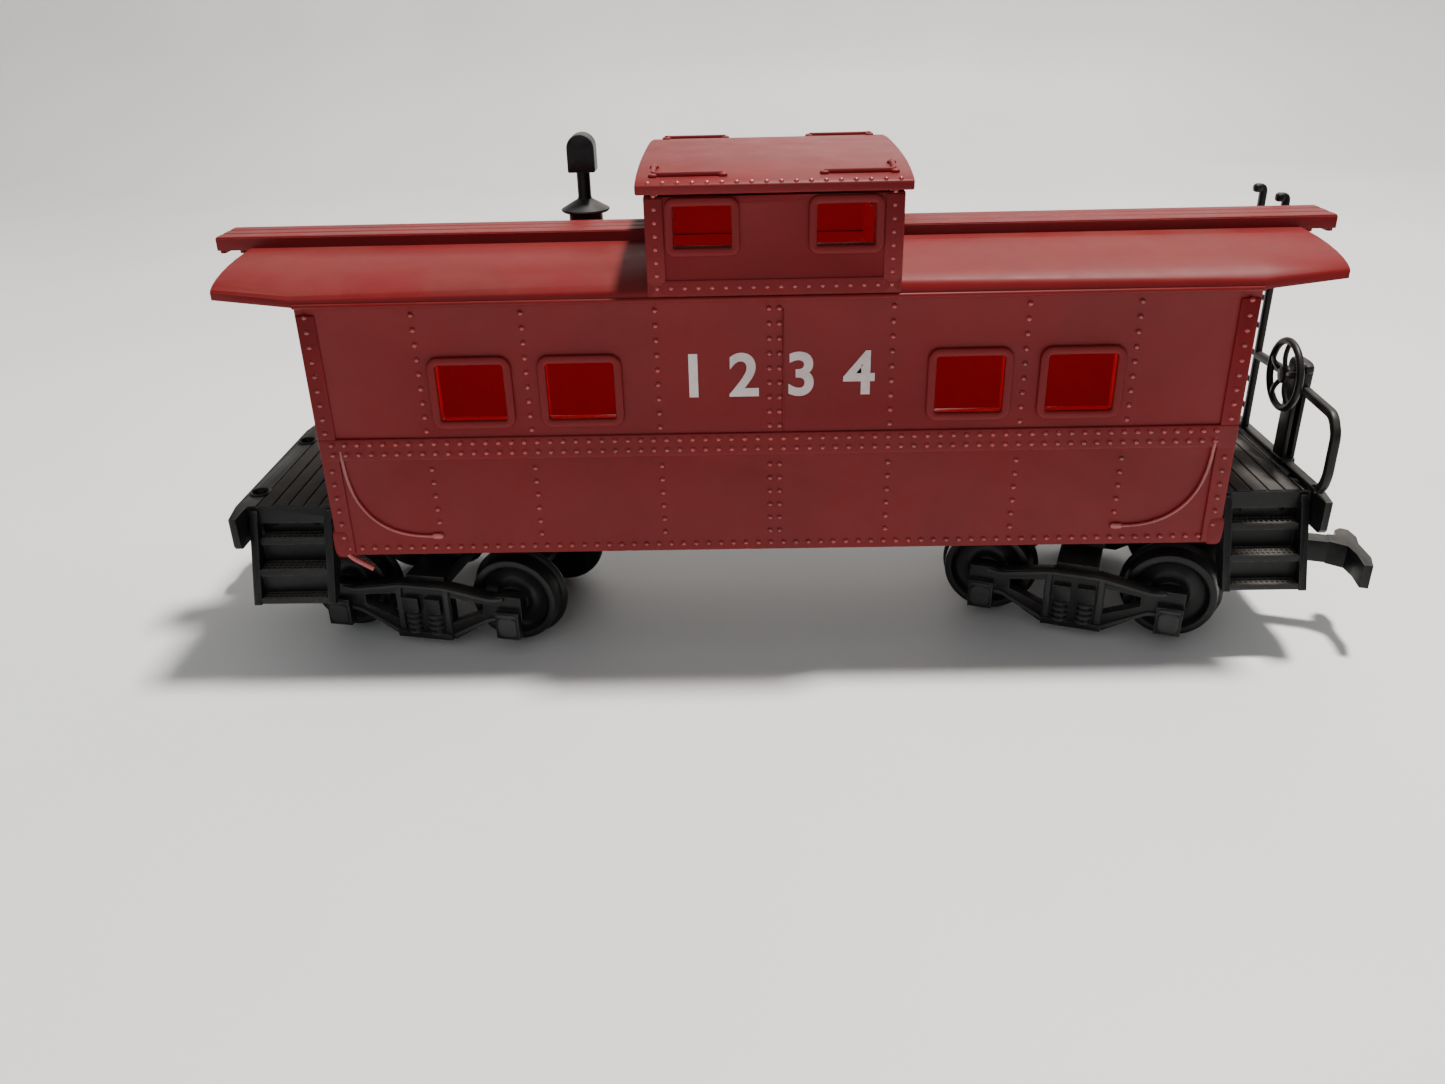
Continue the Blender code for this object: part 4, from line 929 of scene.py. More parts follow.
# ---- Van body ---------------------------------------------------------------------------
@dataclass
class VanBody:
    """The red shell with everything moulded on it: rivets, belt, frames, grab irons and boards."""

    finishes: Finishes
    half_length: float = 51.6
    side_y: float = 15.6
    bottom: float = 14.4
    eave: float = 44.2
    eave_y: float = 16.15
    wall: float = 1.0
    hollow_middle: float = 32.0
    deck_top: float = 19.5
    belt_low: float = 26.35
    belt_high: float = 29.0
    belt_rows: tuple[float, float] = (27.15, 28.35)
    columns: tuple[float, ...] = (0.55, 12.8, 27.25, 39.1)
    end_column: float = 50.55
    rivet_radius: float = 0.32
    rivet_height: float = 0.27
    rivet_pitch: float = 1.46
    column_pitch: float = 1.66
    lower_rivets: int = 6
    upper_rivets: int = 9
    end_rivets_y: tuple[float, ...] = (-14.8, 14.8, -4.6, 4.6)
    windows: tuple[float, ...] = (21.35, 33.5)
    window_size: tuple[float, float] = (7.4, 6.4)
    window_middle: float = 34.2
    frame_width: float = 0.95
    frame_height: float = 0.42
    iron_run: float = 9.7
    iron_drop: float = 10.8
    iron_bend: float = 0.78
    end_openings: tuple[tuple[float, float], ...] = ((-9.4, 5.2), (9.4, 5.2), (0.0, 4.2))
    end_opening_height: float = 7.1
    door_size: tuple[float, float] = (7.4, 21.4)
    door_middle: float = 11.2
    panel_size: tuple[float, float] = (4.6, 3.4)
    panel_middles: tuple[float, ...] = (3.4, 7.8)
    knob_at: tuple[float, float] = (2.7, 10.6)
    end_iron_y: float = 5.6
    end_iron_span: tuple[float, float] = (24.0, 35.0)
    board_half: float = 3.2
    board_top: float = 49.1
    board_start: float = 13.45
    board_end: float = 64.0
    plank_places: tuple[float, ...] = (-2.12, 0.0, 2.12)
    cleat_places: tuple[float, ...] = (60.9, 63.2)
    digits: str = "1234"
    digit_places: tuple[float, ...] = (-8.9, -3.35, 2.95, 9.3)
    digit_size: float = 6.75
    digit_spread: float = 0.16
    digit_foot: float = 33.4
    ink: float = 0.03

    def build(self) -> None:
        """Builds the shell and each of its moulded details."""
        shell = softened_copy("body_shell", self.finishes.body, "van", 0.14)
        self.paint_inside_glow(shell)
        for side in Side:
            self.side_strips(side)
            self.side_frames(side)
            self.side_rivets(side)
            self.side_irons(side)
        for end in End:
            self.end_details(end)
        self.running_board()
        self.road_digits()
        self.corner_feet()
        self.torn_tab()

    def paint_inside_glow(self, shell: bpy.types.Object) -> None:
        """Gives the faces that look into the hollow of the shell a brighter red with a glow: painted light in
        the hollow.

        Args:
            shell: the softened shell.
        """
        mesh = shell.data
        mesh.materials.append(self.finishes.inside)
        centres = np.empty(len(mesh.polygons) * 3, np.float32)
        normals = np.empty(len(mesh.polygons) * 3, np.float32)
        mesh.polygons.foreach_get("center", centres)
        mesh.polygons.foreach_get("normal", normals)
        centres = centres.reshape(-1, 3) / MM
        normals = normals.reshape(-1, 3)
        inner_x = self.half_length - self.wall
        inner_y = self.eave_y - 0.9
        within = (np.abs(centres[:, 0]) < inner_x) & (np.abs(centres[:, 1]) < inner_y)
        inward = (normals * (centres - [0.0, 0.0, self.hollow_middle])).sum(1) < 0.0
        chosen = np.where(within & inward, 1, 0).astype(np.int32)
        mesh.polygons.foreach_set("material_index", chosen)

    def side_strips(self, side: Side) -> None:
        """The belt, the corner strips, the drip rail and the middle seam of a side.

        Args:
            side: the side to work on.
        """
        y = side.value * self.side_y
        rail_y = y + side.value * 0.55
        rail_z = self.eave + 0.1
        seam_x = 0.95
        out = (0.0, float(side.value), 0.0)
        end = self.half_length - 0.05
        belt_middle = (self.belt_low + self.belt_high) / 2
        belt = soft_rectangle(self.belt_high - self.belt_low, 0.56, 7.0, 28)
        corner = soft_rectangle(2.0, 0.4, 7.0, 24)
        rail = soft_rectangle(0.55, 0.6, 2.6, 14)
        seam = soft_rectangle(0.16, 0.3, 2.5, 10)
        parts = [
            beam((-end, y, belt_middle), (end, y, belt_middle), belt, out),
            beam((-end, rail_y, rail_z), (end, rail_y, rail_z), rail, out),
            beam((seam_x, y, self.belt_high + 0.1), (seam_x, y, self.eave - 1.2), seam, out),
        ]
        for x in (-end + 1.05, end - 1.05):
            parts.append(beam((x, y, self.bottom + 0.1), (x, y, self.eave - 1.0), corner, out))
        van_piece(parts, f"side_strips_{side.name.lower()}", self.finishes.body)

    def side_frames(self, side: Side) -> None:
        """A raised rounded frame round each window of a side.

        Args:
            side: the side to work on.
        """
        width, height = self.window_size
        outline = rounded_frame_path(width + self.frame_width, height + self.frame_width, 0.8)
        profile = soft_rectangle(self.frame_width, self.frame_height * 2, 3.4)
        out = (0.0, float(side.value), 0.0)
        y = side.value * self.side_y
        parts = []
        for x in [sign * place for place in self.windows for sign in (-1, 1)]:
            path = points_at(outline[:, 0] + x, y, outline[:, 1] + self.window_middle)
            parts.append(sweep(path, profile, out, closed=True))
        van_piece(parts, f"window_frames_{side.name.lower()}", self.finishes.body)

    def side_rivets(self, side: Side) -> None:
        """Rows of rivets along the belt and the bottom edge, and columns between them.

        Args:
            side: the side to work on.
        """
        reach = self.half_length - 1.5
        along = np.arange(-reach, reach + 0.01, self.rivet_pitch)
        places = [points_at(along, 0.26, height) for height in self.belt_rows]
        places.append(points_at(along, 0.0, self.bottom + 0.85))
        lower = self.bottom + 2.4 + self.column_pitch * np.arange(self.lower_rivets)
        upper = self.belt_high + 0.75 + self.column_pitch * np.arange(self.upper_rivets)
        heights = np.concatenate([lower, upper])
        places += [points_at(sign * x, 0.0, heights) for x in self.columns for sign in (-1, 1)]
        places += [points_at(sign * self.end_column, 0.18, heights) for sign in (-1, 1)]
        points = np.concatenate(places)
        points[:, 1] = side.value * (self.side_y + points[:, 1])
        normal = (0.0, float(side.value), 0.0)
        heads = domes(points, normal, self.rivet_radius, self.rivet_height)
        name = f"side_rivets_{side.name.lower()}"
        van_piece([heads], name, self.finishes.rivets, RIVET_CREASE)

    def side_irons(self, side: Side) -> None:
        """The moulded grab irons: a bar that bends from upright to level at each lower corner.

        Its path is a superellipse quarter: x = middle + run * cos(t)^bend, z = top - drop * sin(t)^bend.

        Args:
            side: the side to work on.
        """
        turn = np.linspace(0.0, math.pi / 2, 30)
        bar = soft_rectangle(0.42, 0.5, 2.4, 12)
        middle = self.half_length - 12.1
        top = self.belt_low + 1.2
        y = side.value * self.side_y
        parts = []
        for sign in (-1, 1):
            x = sign * (middle + self.iron_run * np.cos(turn) ** self.iron_bend)
            z = top - self.iron_drop * np.sin(turn) ** self.iron_bend
            path = points_at(x, side.value * (self.side_y + 0.05), z)
            parts.append(sweep(path, bar, (0.0, float(side.value), 0.0)))
            low = (path[-1, 0] - 0.7, y - 0.3, path[-1, 2] - 0.4)
            high = (path[-1, 0] + 0.7, y + 0.3, path[-1, 2] + 0.4)
            parts.append(soft_block(low, high, 3.5, 16))
        van_piece(parts, f"side_grab_irons_{side.name.lower()}", self.finishes.rivets)

    def end_details(self, end: End) -> None:
        """Door, window frames, door panels, knob, grab irons and rivets of an end wall.

        Args:
            end: the end to work on.
        """
        name = end.name.lower()
        x = end.value * self.half_length
        parts = self.end_loops(x, (float(end.value), 0.0, 0.0))
        knob = turned(np.array([[0.05, 0.75], [0.4, 0.65], [0.5, 0.4], [0.3, 0.1], [0.3, -0.2]]), 16)
        tilt = np.eye(4)
        tilt[:3, :3] = [[0.0, 0.0, end.value], [0.0, 1.0, 0.0], [-end.value, 0.0, 0.0]]
        tilt[:3, 3] = (x, self.knob_at[0], self.deck_top + self.knob_at[1])
        parts.append(knob.moved(tilt))
        low, high = self.end_iron_span
        out = x + end.value * 0.9
        for y in (-self.end_iron_y, self.end_iron_y):
            path = filleted([(x, y, low), (out, y, low), (out, y, high), (x, y, high)], 0.5)
            parts.append(sweep(path, soft_rectangle(0.5, 0.5, 2.2, 12), ACROSS))
        van_piece(parts, f"end_details_{name}", self.finishes.body)
        heights = np.arange(self.deck_top + 1.4, self.eave - 0.6, self.column_pitch)
        places = np.concatenate([points_at(x, y, heights) for y in self.end_rivets_y])
        rivets = domes(places, (float(end.value), 0.0, 0.0), self.rivet_radius, self.rivet_height)
        van_piece([rivets], f"end_rivets_{name}", self.finishes.rivets, RIVET_CREASE)

    def end_loops(self, x: float, out: Triple) -> list[Shape]:
        """The raised frames of an end wall: round its windows, its door and the door's panels.

        Args:
            x: the wall's place.
            out: the way that the wall faces.

        Returns:
            One shape for each frame.
        """
        window = soft_rectangle(0.7, 0.6, 3.4)
        parts = []
        for y, width in self.end_openings:
            outline = rounded_frame_path(width + 0.7, self.end_opening_height, 0.6)
            path = points_at(x, outline[:, 0] + y, outline[:, 1] + self.window_middle)
            parts.append(sweep(path, window, out, closed=True))
        door = rounded_frame_path(*self.door_size, 0.5)
        path = points_at(x, door[:, 0], door[:, 1] + self.deck_top + self.door_middle)
        parts.append(sweep(path, soft_rectangle(0.6, 0.8, 3.4), out, closed=True))
        panel = rounded_frame_path(*self.panel_size, 0.4)
        for middle in self.panel_middles:
            path = points_at(x, panel[:, 0], panel[:, 1] + self.deck_top + middle)
            parts.append(sweep(path, soft_rectangle(0.4, 0.4, 3.0, 12), out, closed=True))
        return parts

    def running_board(self) -> None:
        """Three raised planks along the roof, broken at the cupola, with cleats below their ends."""
        plank = soft_rectangle(1.94, 0.5, 7.0, 24)
        parts = []
        for sign in (-1, 1):
            for y in self.plank_places:
                start = (sign * self.board_start, y, self.board_top - 0.07)
                end = (sign * (self.board_end + 0.05), y, self.board_top - 0.07)
                parts.append(beam(start, end, plank, UP))
            for x in self.cleat_places:
                near, far = sorted((sign * x, sign * (x + 0.6)))
                low = (near, -self.board_half + 0.1, self.board_top - 1.75)
                high = (far, self.board_half - 0.1, self.board_top - 1.2)
                parts.append(soft_block(low, high, 8.0))
        van_piece(parts, "running_board_planks", self.finishes.body)

    def road_digits(self) -> None:
        """Plain generic digits printed on both sides, as a thin layer of raised ink."""
        for side in Side:
            for number, x in zip(self.digits, self.digit_places):
                curve = bpy.data.curves.new(f"digit_{number}", "FONT")
                curve.body = number
                curve.size = self.digit_size * MM
                curve.offset = self.digit_spread * MM
                curve.extrude = self.ink * MM
                curve.align_x = "CENTER"
                text = bpy.data.objects.new(f"digit_{number}", curve)
                bpy.context.scene.collection.objects.link(text)
                graph = bpy.context.evaluated_depsgraph_get()
                mesh = bpy.data.meshes.new_from_object(text.evaluated_get(graph))
                bpy.data.objects.remove(text)
                self.print_digit(mesh, side, number, x)

    def print_digit(self, mesh: bpy.types.Mesh, side: Side, number: str, x: float) -> None:
        """Stands one digit upright on a side at x, reading left to right from outside.

        Args:
            mesh: the digit lying in the XY plane.
            side: the side it is printed on.
            number: the digit, for its name.
            x: its middle, counted left to right as seen from that side.
        """
        flat = np.empty(len(mesh.vertices) * 3, np.float32)
        mesh.vertices.foreach_get("co", flat)
        flat = flat.reshape(-1, 3) / MM
        across = -side.value * (flat[:, 0] + x)
        out = side.value * (self.side_y + 0.01 + flat[:, 2])
        upright = np.stack([across, out, flat[:, 1] + self.digit_foot], -1)
        mesh.vertices.foreach_set("co", (upright * MM).astype(np.float32).ravel())
        mesh.materials.clear()
        mesh.materials.append(self.finishes.digits)
        mesh.update()
        piece = bpy.data.objects.new(f"road_digit_{number}_{side.name.lower()}", mesh)
        bpy.context.scene.collection.objects.link(piece)
        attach(piece, "van")

    def corner_feet(self) -> None:
        """A small rounded foot at each lower corner of the shell."""
        parts = []
        for sign in (-1, 1):
            for side in Side:
                xs = sorted((sign * (self.half_length - 1.7), sign * (self.half_length + 0.35)))
                ys = sorted((side.value * (self.side_y - 0.6), side.value * (self.side_y + 0.3)))
                low = (xs[0], ys[0], self.bottom - 0.3)
                high = (xs[1], ys[1], self.bottom + 3.4)
                parts.append(soft_block(low, high, 3.6))
        van_piece(parts, "corner_feet", self.finishes.body)

    def torn_tab(self) -> None:
        """A bent red tab that hangs from the near left corner of the shell."""
        y = -self.side_y + 0.2
        path = filleted([
            (-self.half_length + 0.8, y, self.bottom + 0.9),
            (-self.half_length + 1.4, y - 0.1, self.bottom - 0.3),
            (-self.half_length + 4.0, y - 0.4, self.bottom - 1.7),
        ], 1.0)
        strip = sweep(path, soft_rectangle(0.7, 0.7, 3.0), ACROSS)
        van_piece([strip], "corner_tab", self.finishes.rivets)


@dataclass
class Cupola:
    """Details of the cupola's walls, and its separate bowed roof."""

    finishes: Finishes
    half_length: float = 13.4
    wall_y: float = 16.15
    base: float = 44.6
    wall_top: float = 54.9
    windows_x: float = 7.45
    window_size: tuple[float, float] = (6.0, 4.2)
    window_middle: float = 51.85
    roof_half_y: float = 16.8
    roof_face_top: float = 56.1
    roof_crown: float = 57.5
    row_rivets: int = 18
    column_rivets: int = 7
    iron_start_x: float = 5.2
    iron_corner: tuple[float, float] = (12.4, 14.7)
    iron_end_y: float = 11.4

    def roof_height(self, y: np.ndarray) -> np.ndarray:
        """Height of the roof's top at y: face top + rise * (1 - |y/half|^2.6)^0.62."""
        share = np.clip(1.0 - np.abs(y / self.roof_half_y) ** 2.6, 0.0, 1.0) ** 0.62
        return self.roof_face_top + (self.roof_crown - self.roof_face_top) * share

    def build(self) -> None:
        """Builds the roof copy, frames, strips, rivets and irons."""
        softened_copy("cupola_roof", self.finishes.body, "van", 0.18)
        for side in Side:
            self.wall_details(side)
        self.end_frames()
        self.rivets()
        self.roof_irons()

    def wall_details(self, side: Side) -> None:
        """Window frames and corner strips of one side wall.

        Args:
            side: the side to work on.
        """
        y = side.value * self.wall_y
        out = (0.0, float(side.value), 0.0)
        width, height = self.window_size
        outline = rounded_frame_path(width + 0.9, height + 0.9, 0.6)
        profile = soft_rectangle(0.9, 0.8, 3.4)
        parts = []
        for x in (-self.windows_x, self.windows_x):
            path = points_at(outline[:, 0] + x, y, outline[:, 1] + self.window_middle)
            parts.append(sweep(path, profile, out, closed=True))
        corner = soft_rectangle(1.9, 0.36, 7.0, 24)
        for x in (-self.half_length + 1.0, self.half_length - 1.0):
            parts.append(beam((x, y, self.base), (x, y, self.wall_top - 0.1), corner, out))
        skirt = soft_rectangle(1.7, 0.36, 7.0, 24)
        end = self.half_length - 0.05
        foot = self.base + 0.9
        parts.append(beam((-end, y, foot), (end, y, foot), skirt, out))
        name = f"cupola_wall_details_{side.name.lower()}"
        van_piece(parts, name, self.finishes.body)

    def end_frames(self) -> None:
        """Window frames on the two end walls of the cupola."""
        width, height = self.window_size
        outline = rounded_frame_path(width + 0.8, height + 0.8, 0.6)
        profile = soft_rectangle(0.8, 0.7, 3.4)
        parts = []
        for end in End:
            x = end.value * self.half_length
            out = (float(end.value), 0.0, 0.0)
            for y in (-self.windows_x, self.windows_x):
                path = points_at(x, outline[:, 0] + y, outline[:, 1] + self.window_middle)
                parts.append(sweep(path, profile, out, closed=True))
        van_piece(parts, "cupola_end_frames", self.finishes.body)

    def rivets(self) -> None:
        """Rivets along the foot and up the corners of the walls, and along the roof's eaves."""
        end = self.half_length - 1.05
        row = np.linspace(-end, end, self.row_rivets)
        foot = self.base + 0.95
        column = foot + 1.36 * np.arange(1, self.column_rivets + 1)
        eave_y = self.roof_half_y - 0.32
        eave_z = self.roof_height(np.array([eave_y]))[0] - 0.02
        parts = []
        for side in Side:
            y = side.value * (self.wall_y + 0.15)
            places = [points_at(row, y, foot)] + [points_at(x, y, column) for x in (-end, end)]
            parts.append(domes(np.concatenate(places), (0.0, float(side.value), 0.0), 0.27, 0.18))
            line = points_at(row * 1.04, side.value * eave_y, eave_z)
            parts.append(domes(line, (0.0, 0.75 * side.value, 0.66), 0.3, 0.2))
        van_piece(parts, "cupola_rivets", self.finishes.rivets, RIVET_CREASE)

    def roof_irons(self) -> None:
        """Four moulded corner grab irons on the roof, each a bar with one bend.

        The bar follows the roof's height at each point, half sunk into it.
        """
        bar = soft_rectangle(0.5, 0.62, 2.6, 12)
        parts = []
        share = np.linspace(0.0, 1.0, 12)[:, None]
        for sx in (-1, 1):
            for sy in (-1, 1):
                start = (sx * self.iron_start_x, sy * self.iron_corner[1])
                corner = (sx * self.iron_corner[0], sy * self.iron_corner[1])
                stop = (sx * self.iron_corner[0], sy * self.iron_end_y)
                flat = filleted([(*start, 0.0), (*corner, 0.0), (*stop, 0.0)], 0.7)
                long_leg = flat[0] + (flat[1] - flat[0]) * share
                short_leg = flat[-2] + (flat[-1] - flat[-2]) * share
                path = np.concatenate([long_leg, flat[2:-2], short_leg])
                path[:, 2] = self.roof_height(path[:, 1]) + 0.12
                parts.append(sweep(path, bar, UP))
                for x, y in (start, stop, corner):
                    z = float(self.roof_height(np.array([y]))[0])
                    low = (x - 0.5, y - 0.5, z - 0.3)
                    high = (x + 0.5, y + 0.5, z + 0.3)
                    parts.append(soft_block(low, high, 3.0, 16))
        van_piece(parts, "cupola_roof_irons", self.finishes.body)


@dataclass
class Smokejack:
    """The stove chimney: drum, conical skirt, pipe and arched hood."""

    finishes: Finishes
    x: float = -22.4
    y: float = 7.5
    base: float = 48.05
    top: float = 58.6
    hood_width: float = 3.3
    hood_depth: float = 3.2
    hood_height: float = 4.4

    def build(self) -> None:
        """Builds the turned stack and the hood, and replaces the CAD node."""
        base, neck = self.base, self.top - self.hood_height
        profile = np.array([
            [1.8, base - 0.35], [2.05, base - 0.2], [2.05, base + 1.15], [2.1, base + 1.3],
            [2.75, base + 1.45], [2.95, base + 1.62], [2.92, base + 1.8], [2.6, base + 1.98],
            [1.5, base + 2.62], [1.05, base + 2.85], [0.86, base + 3.0], [0.8, base + 3.3],
            [0.8, neck + 0.2], [0.86, neck + 0.9],
        ])
        stack = turned(profile, 40).moved(placed((self.x, self.y, 0.0)))
        parts = [stack, self.hood()]
        piece = van_piece(parts, "smokejack_moulding", self.finishes.gear)
        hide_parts("smokejack")

    def hood(self) -> Shape:
        """An arch carried through its depth, drawn in towards both faces.

        The outline is a half circle on straight legs; at depth d it is scaled by
        (1 - |d|^8)^(1/8), which leaves flat faces with round edges.

        Returns:
            A closed shape at its place on the roof.
        """
        half = self.hood_width / 2
        turn = np.linspace(0.0, math.pi, 24)
        arch = np.stack([half * np.cos(turn), self.hood_height - half + half * np.sin(turn)], -1)
        base = np.stack([np.linspace(-half, half, 8)[1:-1], np.zeros(6)], -1)
        legs = np.array([[-half, (self.hood_height - half) / 2], [-half, 0.12], [-half + 0.12, 0.0]])
        mirrored = legs[::-1] * [-1.0, 1.0]
        outline = np.concatenate([arch, legs, base, mirrored]) - [0.0, self.hood_height / 2]
        depth = np.sin(np.linspace(-math.pi / 2, math.pi / 2, 15))
        draw = np.clip(1.0 - np.abs(depth) ** 8, 0.02, 1.0) ** 0.125
        scale = 0.86 + 0.14 * draw
        grid = np.stack([
            self.x + outline[None, :, 0] * scale[:, None],
            np.broadcast_to(self.y + depth[:, None] * self.hood_depth / 2, (15, len(outline))),
            self.top - self.hood_height / 2 + outline[None, :, 1] * scale[:, None],
        ], -1)
        shape = Shape()
        index = shape.patch(grid, wrap_columns=True)
        shape.cap(index[0])
        shape.cap(index[-1])
        return shape


# ---- Underframe and platforms -----------------------------------------------------------
@dataclass
class Underframe:
    """The black floor and platforms: planked decks, and end beams with ribs, bolts and sockets."""

    finishes: Finishes
    body_half: float = 51.6
    beam_x: float = 61.6
    beam_outer_x: float = 64.0
    deck_top: float = 19.5
    deck_half: float = 12.8
    plank_count: int = 5
    beam_top: float = 19.65
    railing_x: float = 62.5
    rib_places: tuple[float, ...] = (-11.5, -5.0, 5.0, 11.5)
    bolt_places: tuple[float, ...] = (-8.2, 8.2, -13.2, 13.2)
    bolt_heights: tuple[float, ...] = (17.0, 18.8)
    socket_places: tuple[float, ...] = (-8.7, 8.7)

    def build(self) -> None:
        """Builds the softened floor and the platform details of both ends."""
        softened_copy("underframe", self.finishes.gear, "van", 0.16)
        hidden = {
            "ballast_weight": self.finishes.steel,
            "truck_pin_right": self.finishes.wheel,
            "truck_pin_left": self.finishes.wheel,
        }
        for node, finish in hidden.items():
            frame["nodes"][node].data.materials.clear()
            frame["nodes"][node].data.materials.append(finish)
        for end in End:
            self.planks(end)
            self.beam_details(end)

    def planks(self, end: End) -> None:
        """Deck planks that run across the van, with narrow gaps between them.

        Args:
            end: the end to work on.
        """
        start = self.body_half + 0.35
        pitch = (self.beam_x - 0.15 - start) / self.plank_count
        profile = soft_rectangle(pitch - 0.26, 0.5, 7.0, 24)
        half = self.deck_half - 0.1
        z = self.deck_top - 0.02
        parts = []
        for number in range(self.plank_count):
            x = end.value * (start + (number + 0.5) * pitch)
            parts.append(beam((x, -half, z), (x, half, z), profile, UP))
        van_piece(parts, f"deck_planks_{end.name.lower()}", self.finishes.deck)

    def beam_details(self, end: End) -> None:
        """Ribs and bolts on the end beam's face, and the open railing sockets of the left end.

        Args:
            end: the end to work on.
        """
        x = end.value * self.beam_outer_x
        parts = []
        for y in self.rib_places:
            low = (x - 0.25, y - 0.45, self.beam_top - 3.6)
            high = (x + 0.25, y + 0.45, self.beam_top - 0.7)
            parts.append(soft_block(low, high, 5.0, 20))
        bolts = np.array([[x, y, z] for y in self.bolt_places for z in self.bolt_heights])
        parts.append(domes(bolts, (float(end.value), 0.0, 0.0), 0.34, 0.22))
        if end is End.LEFT:
            collar = np.array([
                [0.95, 0.0], [0.97, 0.16], [1.12, 0.22], [1.3, 0.1], [1.3, -0.2], [0.95, -0.2]
            ])
            for y in self.socket_places:
                place = placed((end.value * self.railing_x, y, self.beam_top))
                parts.append(turned(collar, 28, ring=True).moved(place))
        van_piece(parts, f"beam_details_{end.name.lower()}", self.finishes.gear)


@dataclass
class Steps:
    """The four step sets: softened panels, treads and risers, with a waffle on each tread."""

    finishes: Finishes
    inner_x: float = 53.4
    outer_x: float = 61.4
    foot_y: float = 17.1
    first_top: float = 9.3
    rise: float = 3.25
    setbacks: tuple[float, ...] = (1.9, 3.8, 5.1)
    nosing: float = 0.5
    pitch: float = 0.62

    def build(self) -> None:
        """Builds all four sets."""
        for end in End:
            for side in Side:
                label = f"{end.name.lower()}_{side.name.lower()}"
                softened_copy(f"steps_{label}", self.finishes.gear, "van", 0.12)
                self.waffle(end, side, label)

    def waffle(self, end: End, side: Side, label: str) -> None:
        """Crossed anti-slip ribs on the three treads of one set.

        Args:
            end: the end that the set stands at.
            side: the side that the set stands at.
            label: the set's name.
        """
        rib = soft_rectangle(0.28, 0.26, 2.4, 10)
        xs = np.arange(self.inner_x + 0.45, self.outer_x - 0.3, self.pitch)
        parts = []
        for level, setback in enumerate(self.setbacks):
            front = self.foot_y - (self.setbacks[level - 1] - self.nosing if level else 0.3) - 0.2
            back = self.foot_y - setback + 0.1
            z = self.first_top + level * self.rise
            for y in np.linspace(back, front, max(2, round((front - back) / self.pitch) + 1)):
                start = (end.value * (self.inner_x + 0.1), side.value * y, z)
                stop = (end.value * (self.outer_x - 0.1), side.value * y, z)
                parts.append(beam(start, stop, rib, UP))
            for x in xs:
                start = (end.value * x, side.value * back, z)
                stop = (end.value * x, side.value * front, z)
                parts.append(beam(start, stop, rib, UP))
        van_piece(parts, f"tread_waffle_{label}", self.finishes.deck)


